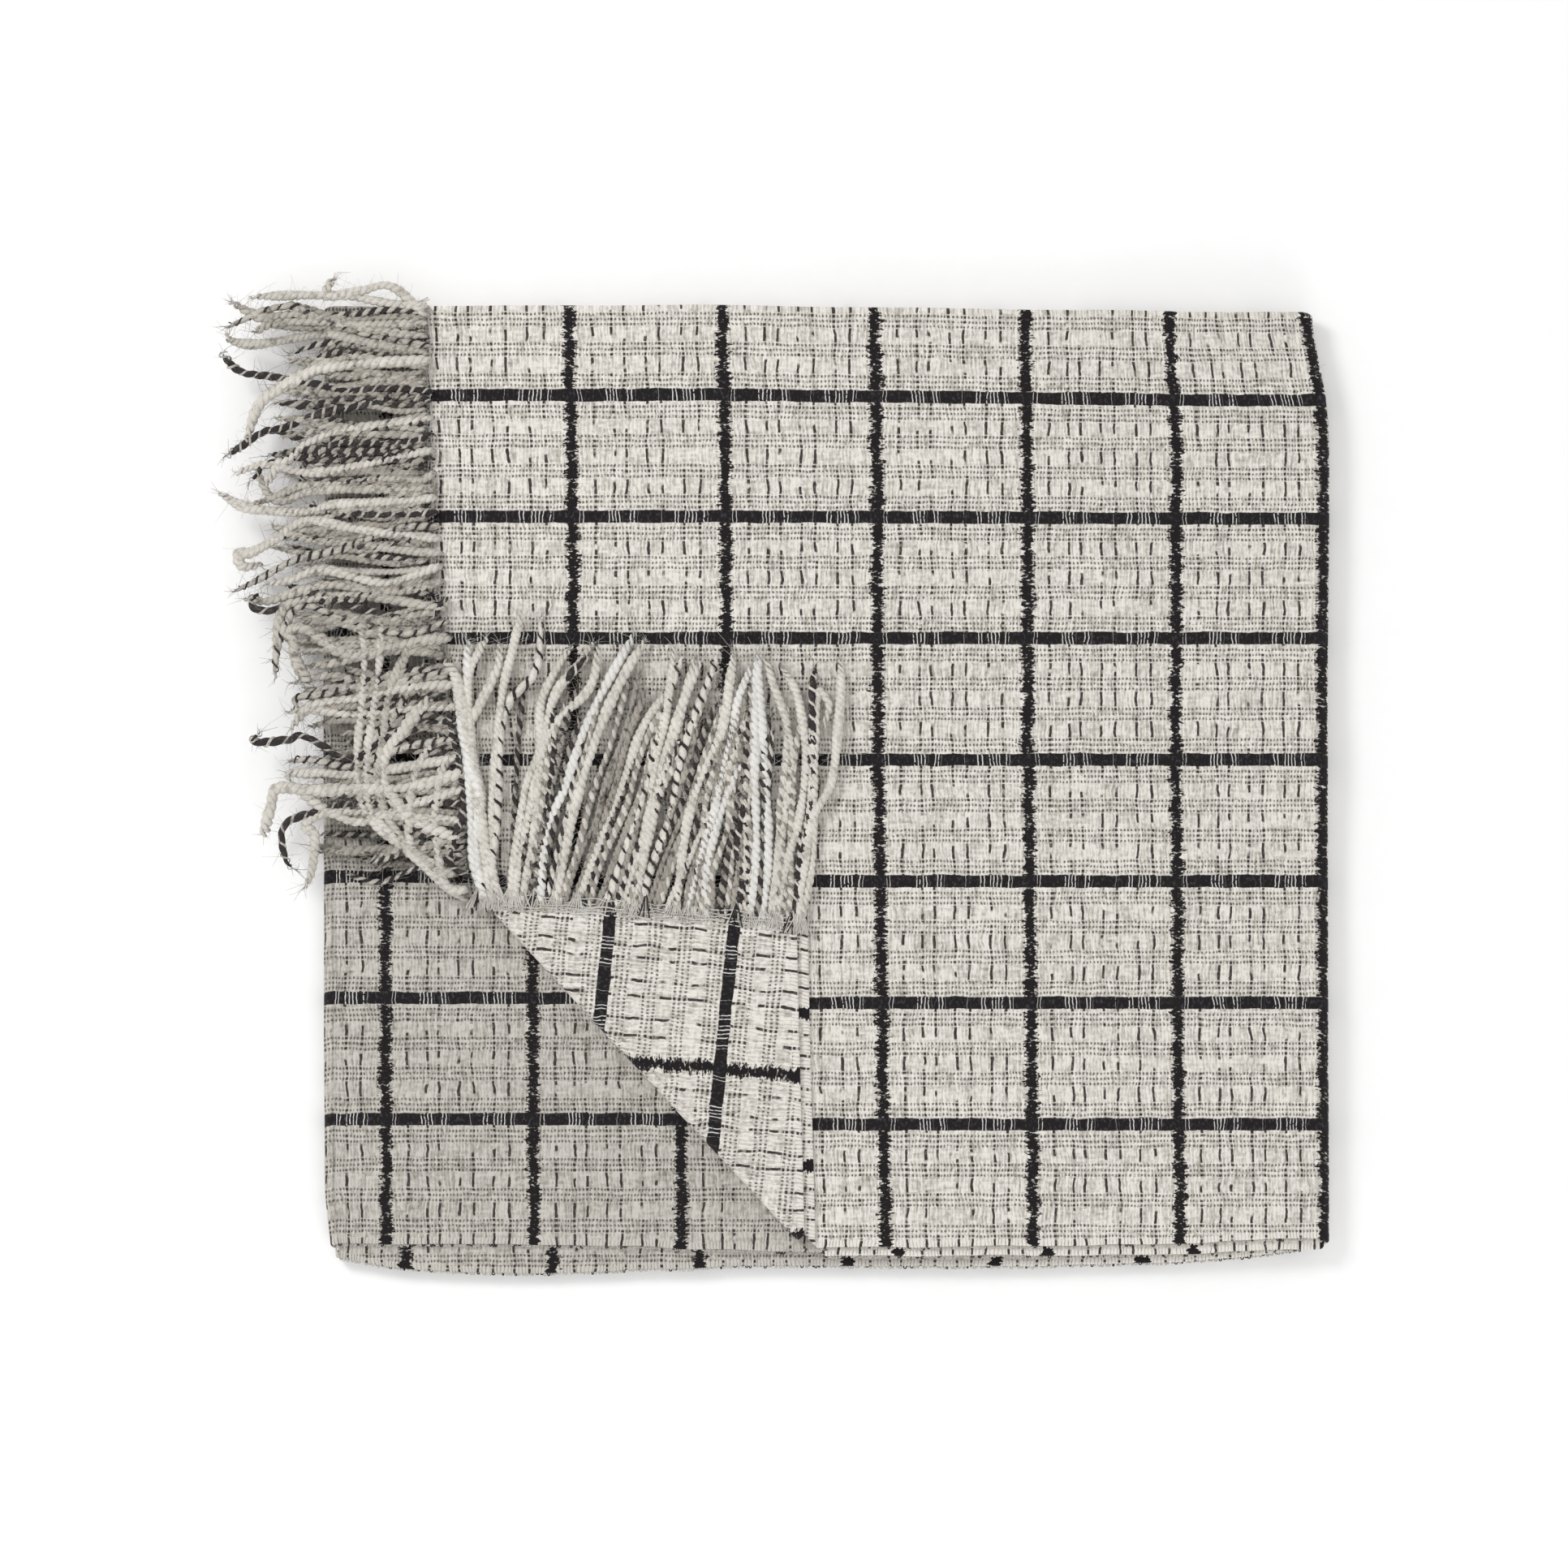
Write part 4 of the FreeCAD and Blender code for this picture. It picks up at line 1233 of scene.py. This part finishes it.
def loose_wefts(
    group, edge_point, first, last, level, way_out, kinds, outs=(-4.5, -2.2, 0.2, 2.6, 5.4), lift=2.4,
):
    """The last weft threads, lying loose along the edge at outs, in mm. edge_point gives the edge."""
    for out in outs:
        at = first
        while at < last - 10 * MM:
            length = chance.uniform(18, 46) * MM
            places = np.arange(at, min(at + length, last), 2.5 * MM)
            wave = np.sin(places / (3.3 * MM) + chance.uniform(0, 6)) * 0.55
            wave = wave + chance.normal(0, 0.25, len(places))
            reach = (out + wave) * MM
            points = np.array([edge_point(p) for p in places]) + reach[:, None] * np.array(way_out)
            z = settle(np.column_stack([points, np.full(len(points), level)]))[:, 2]
            z = z + lift * chance.uniform(0.6, 1.3) * MM
            path, _ = rounded_path(np.column_stack([points, z]), 1.3 * MM)
            group.tube(path, chance.uniform(0.38, 0.52) * MM, kinds[chance.integers(len(kinds))], 4)
            at += length + chance.uniform(0, 6) * MM


def loops(group, start, end, level, out, pitch, size, dark_every, kind):
    """Small loops of yarn standing out of a straight stretch of edge."""
    start, end, out = np.array(start), np.array(end), np.array(out)
    count = int(np.linalg.norm(end - start) / pitch)
    way = (end - start) / np.linalg.norm(end - start)
    for number in range(count):
        foot = start + way * (number + chance.uniform(0.2, 0.8)) * pitch
        reach = size * chance.uniform(0.5, 1.3)
        width = way * pitch * chance.uniform(0.4, 0.9)
        colour = DARK if chance.random() < dark_every else kind
        far = out * reach
        places = [foot - width / 2, foot - width * 0.3 + far, foot + width * 0.3 + far, foot + width / 2]
        heights = level + chance.normal(0, 0.25, 4) * MM
        path, _ = rounded_path(np.column_stack([places, heights]), 0.6 * MM)
        group.tube(path, 0.42 * MM, colour, 4)


def top_edge_point(y):
    return float(fringe_edge_x(y)), y


def flap_edge_point(x):
    return x, float(flap_edge_y(x))


edging = {name: Strands() for name in ("top", "corner", "middle", "bottom")}
OVER_THE_EDGE = 36    # only this many of the top strands start at the top panel's own edge
for panel, listed, way_in, level in (
    ("top", TOP_STRANDS[:OVER_THE_EDGE], (-1.0, 0.0), "top_upper"),
    ("corner", FLAP_STRANDS, (0.0, 1.0), "corner_upper"),
):
    for kind, _, places in listed:
        first = np.array(places[0]) * MM
        edge = top_edge_point(first[1]) if panel == "top" else flap_edge_point(first[0])
        spot = settle(np.array([[*edge, LEVEL[level]]]))[0]
        toward = np.array(places[1], float) - places[0]
        toward = toward / np.linalg.norm(toward) + np.array(way_in)
        toward /= np.linalg.norm(toward)
        gather(edging[panel], spot[:2], toward, 7.0 * MM, spot[2],
               [LIGHT, DARK, DARK] if kind == "t" else [LIGHT, LIGHT, WHITE])

FLAP_FROM, FLAP_TO = TURN_START[0] + 0.01, FLAP_SIDE["corner_upper"]
loose_wefts(edging["top"], top_edge_point, KINK_Y, BACK_TURN_Y - 0.004,
            LEVEL["top_upper"], (-1, 0), [WHITE, WHITE, LIGHT])
loose_wefts(edging["corner"], flap_edge_point, FLAP_FROM, FLAP_TO,
            LEVEL["corner_upper"], (0, 1), [WHITE, WHITE, LIGHT])
loose_wefts(edging["corner"], flap_edge_point, FLAP_FROM, FLAP_TO - 0.004,
            LEVEL["corner_upper"], (0, 1), [DARK], outs=(-8.0,), lift=1.0)

STRETCH = 0.02


def loops_along(panel, edge_point, first, last, on_leaves, out, size, dark_every, kind):
    """Weft loops along an edge, in straight stretches. edge_point gives the edge."""
    for at in np.arange(first, last, STRETCH):
        for leaf in on_leaves:
            ends = settle(np.array([[*edge_point(at + d), LEVEL[leaf]] for d in (0, STRETCH)]))
            loops(edging[panel], ends[0, :2], ends[1, :2], ends[0, 2], out, 2.4 * MM, size, dark_every, kind)


loops_along("top", top_edge_point, KINK_Y, BACK_TURN_Y - 0.01, ("top_lower", "top_upper"),
            (-1, 0), 2.6 * MM, 0.06, WHITE)
loops_along("corner", flap_edge_point, FLAP_FROM, FLAP_TO - 0.01, ("corner_lower", "corner_upper"),
            (0, 1), 2.6 * MM, 0.06, WHITE)
for leaf, first, last in (
    ("bottom_lower", LEFT_TURN_X, BOTTOM_END_X),
    ("bottom_upper", LEFT_TURN_X, BOTTOM_END_X),
    ("middle_lower", LEFT_TURN_X, RIGHT_TURN_X),
    ("middle_upper", LEFT_TURN_X, RIGHT_TURN_X),
    ("top_lower", 0.012, RIGHT_TURN_X),
    ("top_upper", 0.002, RIGHT_TURN_X),
):
    loops_along(leaf.split("_")[0], lambda x, leaf=leaf: (x, float(front_y(leaf, x))), first, last - STRETCH,
                (leaf,), (0, -1), 1.3 * MM, 0.18, LIGHT)

# ---- what moves with what

CLOTHS = [
    # piece, body, nodes it stands for, flat size, what it lies on
    (bottom_cloth, "bottom_panel",
     ["bottom_lower_leaf", "bottom_upper_leaf", "bottom_back_fold", "left_fold_inner"], (0.5095, 1.288),
     ["floor"]),
    (middle_cloth, "middle_panel",
     ["middle_lower_leaf", "middle_upper_leaf", "middle_back_fold", "right_fold_inner"], (0.6703, 1.290),
     ["bottom_cloth"]),
    (top_cloth, "top_panel",
     ["top_lower_leaf", "top_upper_leaf", "top_back_fold", "corner_fold_inner"], (0.6080, 1.278),
     ["middle_cloth"]),
    (corner_cloth, "turned_corner",
     ["corner_lower_leaf", "corner_upper_leaf"], (0.2100, 0.4600), ["top_cloth"]),
]
for piece, body, nodes, _, _ in CLOTHS:
    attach(piece, body)
    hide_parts(*nodes)

TURNS = [
    # piece, the bodies below and above, the node it stands for, where it turns, and its flat size
    (left_fold_turn, "bottom_panel", "middle_panel", "left_fold_outer",
     (LEFT_TURN_X, 0, LEFT_AXIS_Z), (0.0165, 0.636)),
    (right_fold_turn, "middle_panel", "top_panel", "right_fold_outer",
     (RIGHT_TURN_X, 0, RIGHT_AXIS_Z), (0.0165, 0.634)),
    (corner_fold_turn, "top_panel", "turned_corner", "corner_fold_outer",
     (*TURN_START, CORNER_AXIS_Z), (0.0165, 0.304)),
]
for piece, below, above, node, (x, y, axis_z), _ in TURNS:
    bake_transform(piece)
    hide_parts(node)

FRINGES = {"top": "top_panel", "corner": "turned_corner", "bottom": "bottom_panel"}
STANDS_FOR = {"ecru": ("lower_fringe", "upper_fringe"), "two_tone": ("stripe_fringe",)}
tassels = {}
for (panel, kind), group in strands.items():
    # painted shade: the top panel's strands are given the darker yarn copies
    piece = group.object(f"{panel}_{kind}_tassels", PAINTED_SHADE_YARNS if panel == "top" else YARNS)
    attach(piece, FRINGES[panel])
    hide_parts(*[f"{panel}_{name}" for name in STANDS_FOR[kind]])
    tassels[panel, kind] = piece
for (panel, kind), piece in tassels.items():
    if panel == "top":
        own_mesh(piece)

trims = {}
for panel, group in edging.items():
    piece = group.object(f"{panel}_edging", YARNS)
    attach(piece, {**FRINGES, "middle": "middle_panel"}[panel])
    trims[panel] = piece

for piece, _, _, flat, under in CLOTHS:
    panel = piece.name.split("_")[0]
    on_it = [tassel for (edge, _), tassel in tassels.items() if edge == panel]
    on_it += [trims[panel]]

# ---- floor, light and camera


def pale_floor():
    n = Nodes("pale_floor")
    spots = n.tree.nodes.new("ShaderNodeTexCoord").outputs["Object"]
    grain = n.noise(spots, 60.0, 3)
    n.put(n.shader.inputs["Base Color"], n.blend(grain, (0.97, 0.97, 0.97, 1), (1.0, 1.0, 1.0, 1)))
    n.shader.inputs["Roughness"].default_value = 0.9
    n.shader.inputs["Specular IOR Level"].default_value = 0.1
    return n.material


bpy.ops.mesh.primitive_plane_add(size=8.0, location=(0, 0, -0.0008))
floor = bpy.context.active_object
floor.name = "floor"
floor.data.materials.append(pale_floor())

world = bpy.data.worlds.new("studio")
world.use_nodes = True
world.node_tree.nodes["Background"].inputs["Color"].default_value = (1.0, 1.0, 1.0, 1)
world.node_tree.nodes["Background"].inputs["Strength"].default_value = 0.76
bpy.context.scene.world = world


def soft_light(name, place, size, power):
    light = bpy.data.lights.new(name, "AREA")
    light.shape, light.size, light.energy = "DISK", size, power
    lamp = in_scene(name, light)
    lamp.location = place
    lamp.rotation_euler = (-Vector(place)).to_track_quat("-Z", "Y").to_euler()


soft_light("key", (-1.5, 1.3, 1.9), 0.9, 26.5)
soft_light("fill", (0.7, -2.2, 1.0), 1.4, 14.0)

CAMERA_HEIGHT = 3.0
SEEN_WIDTH = 1.0645
camera_data = bpy.data.cameras.new("camera")
camera_data.angle = 2 * math.atan(SEEN_WIDTH / 2 / CAMERA_HEIGHT)
camera = in_scene("camera", camera_data)
camera.location = (0.0052, 0.0017, CAMERA_HEIGHT + 0.02)
bpy.context.scene.camera = camera
bpy.context.scene.view_settings.view_transform = "Standard"
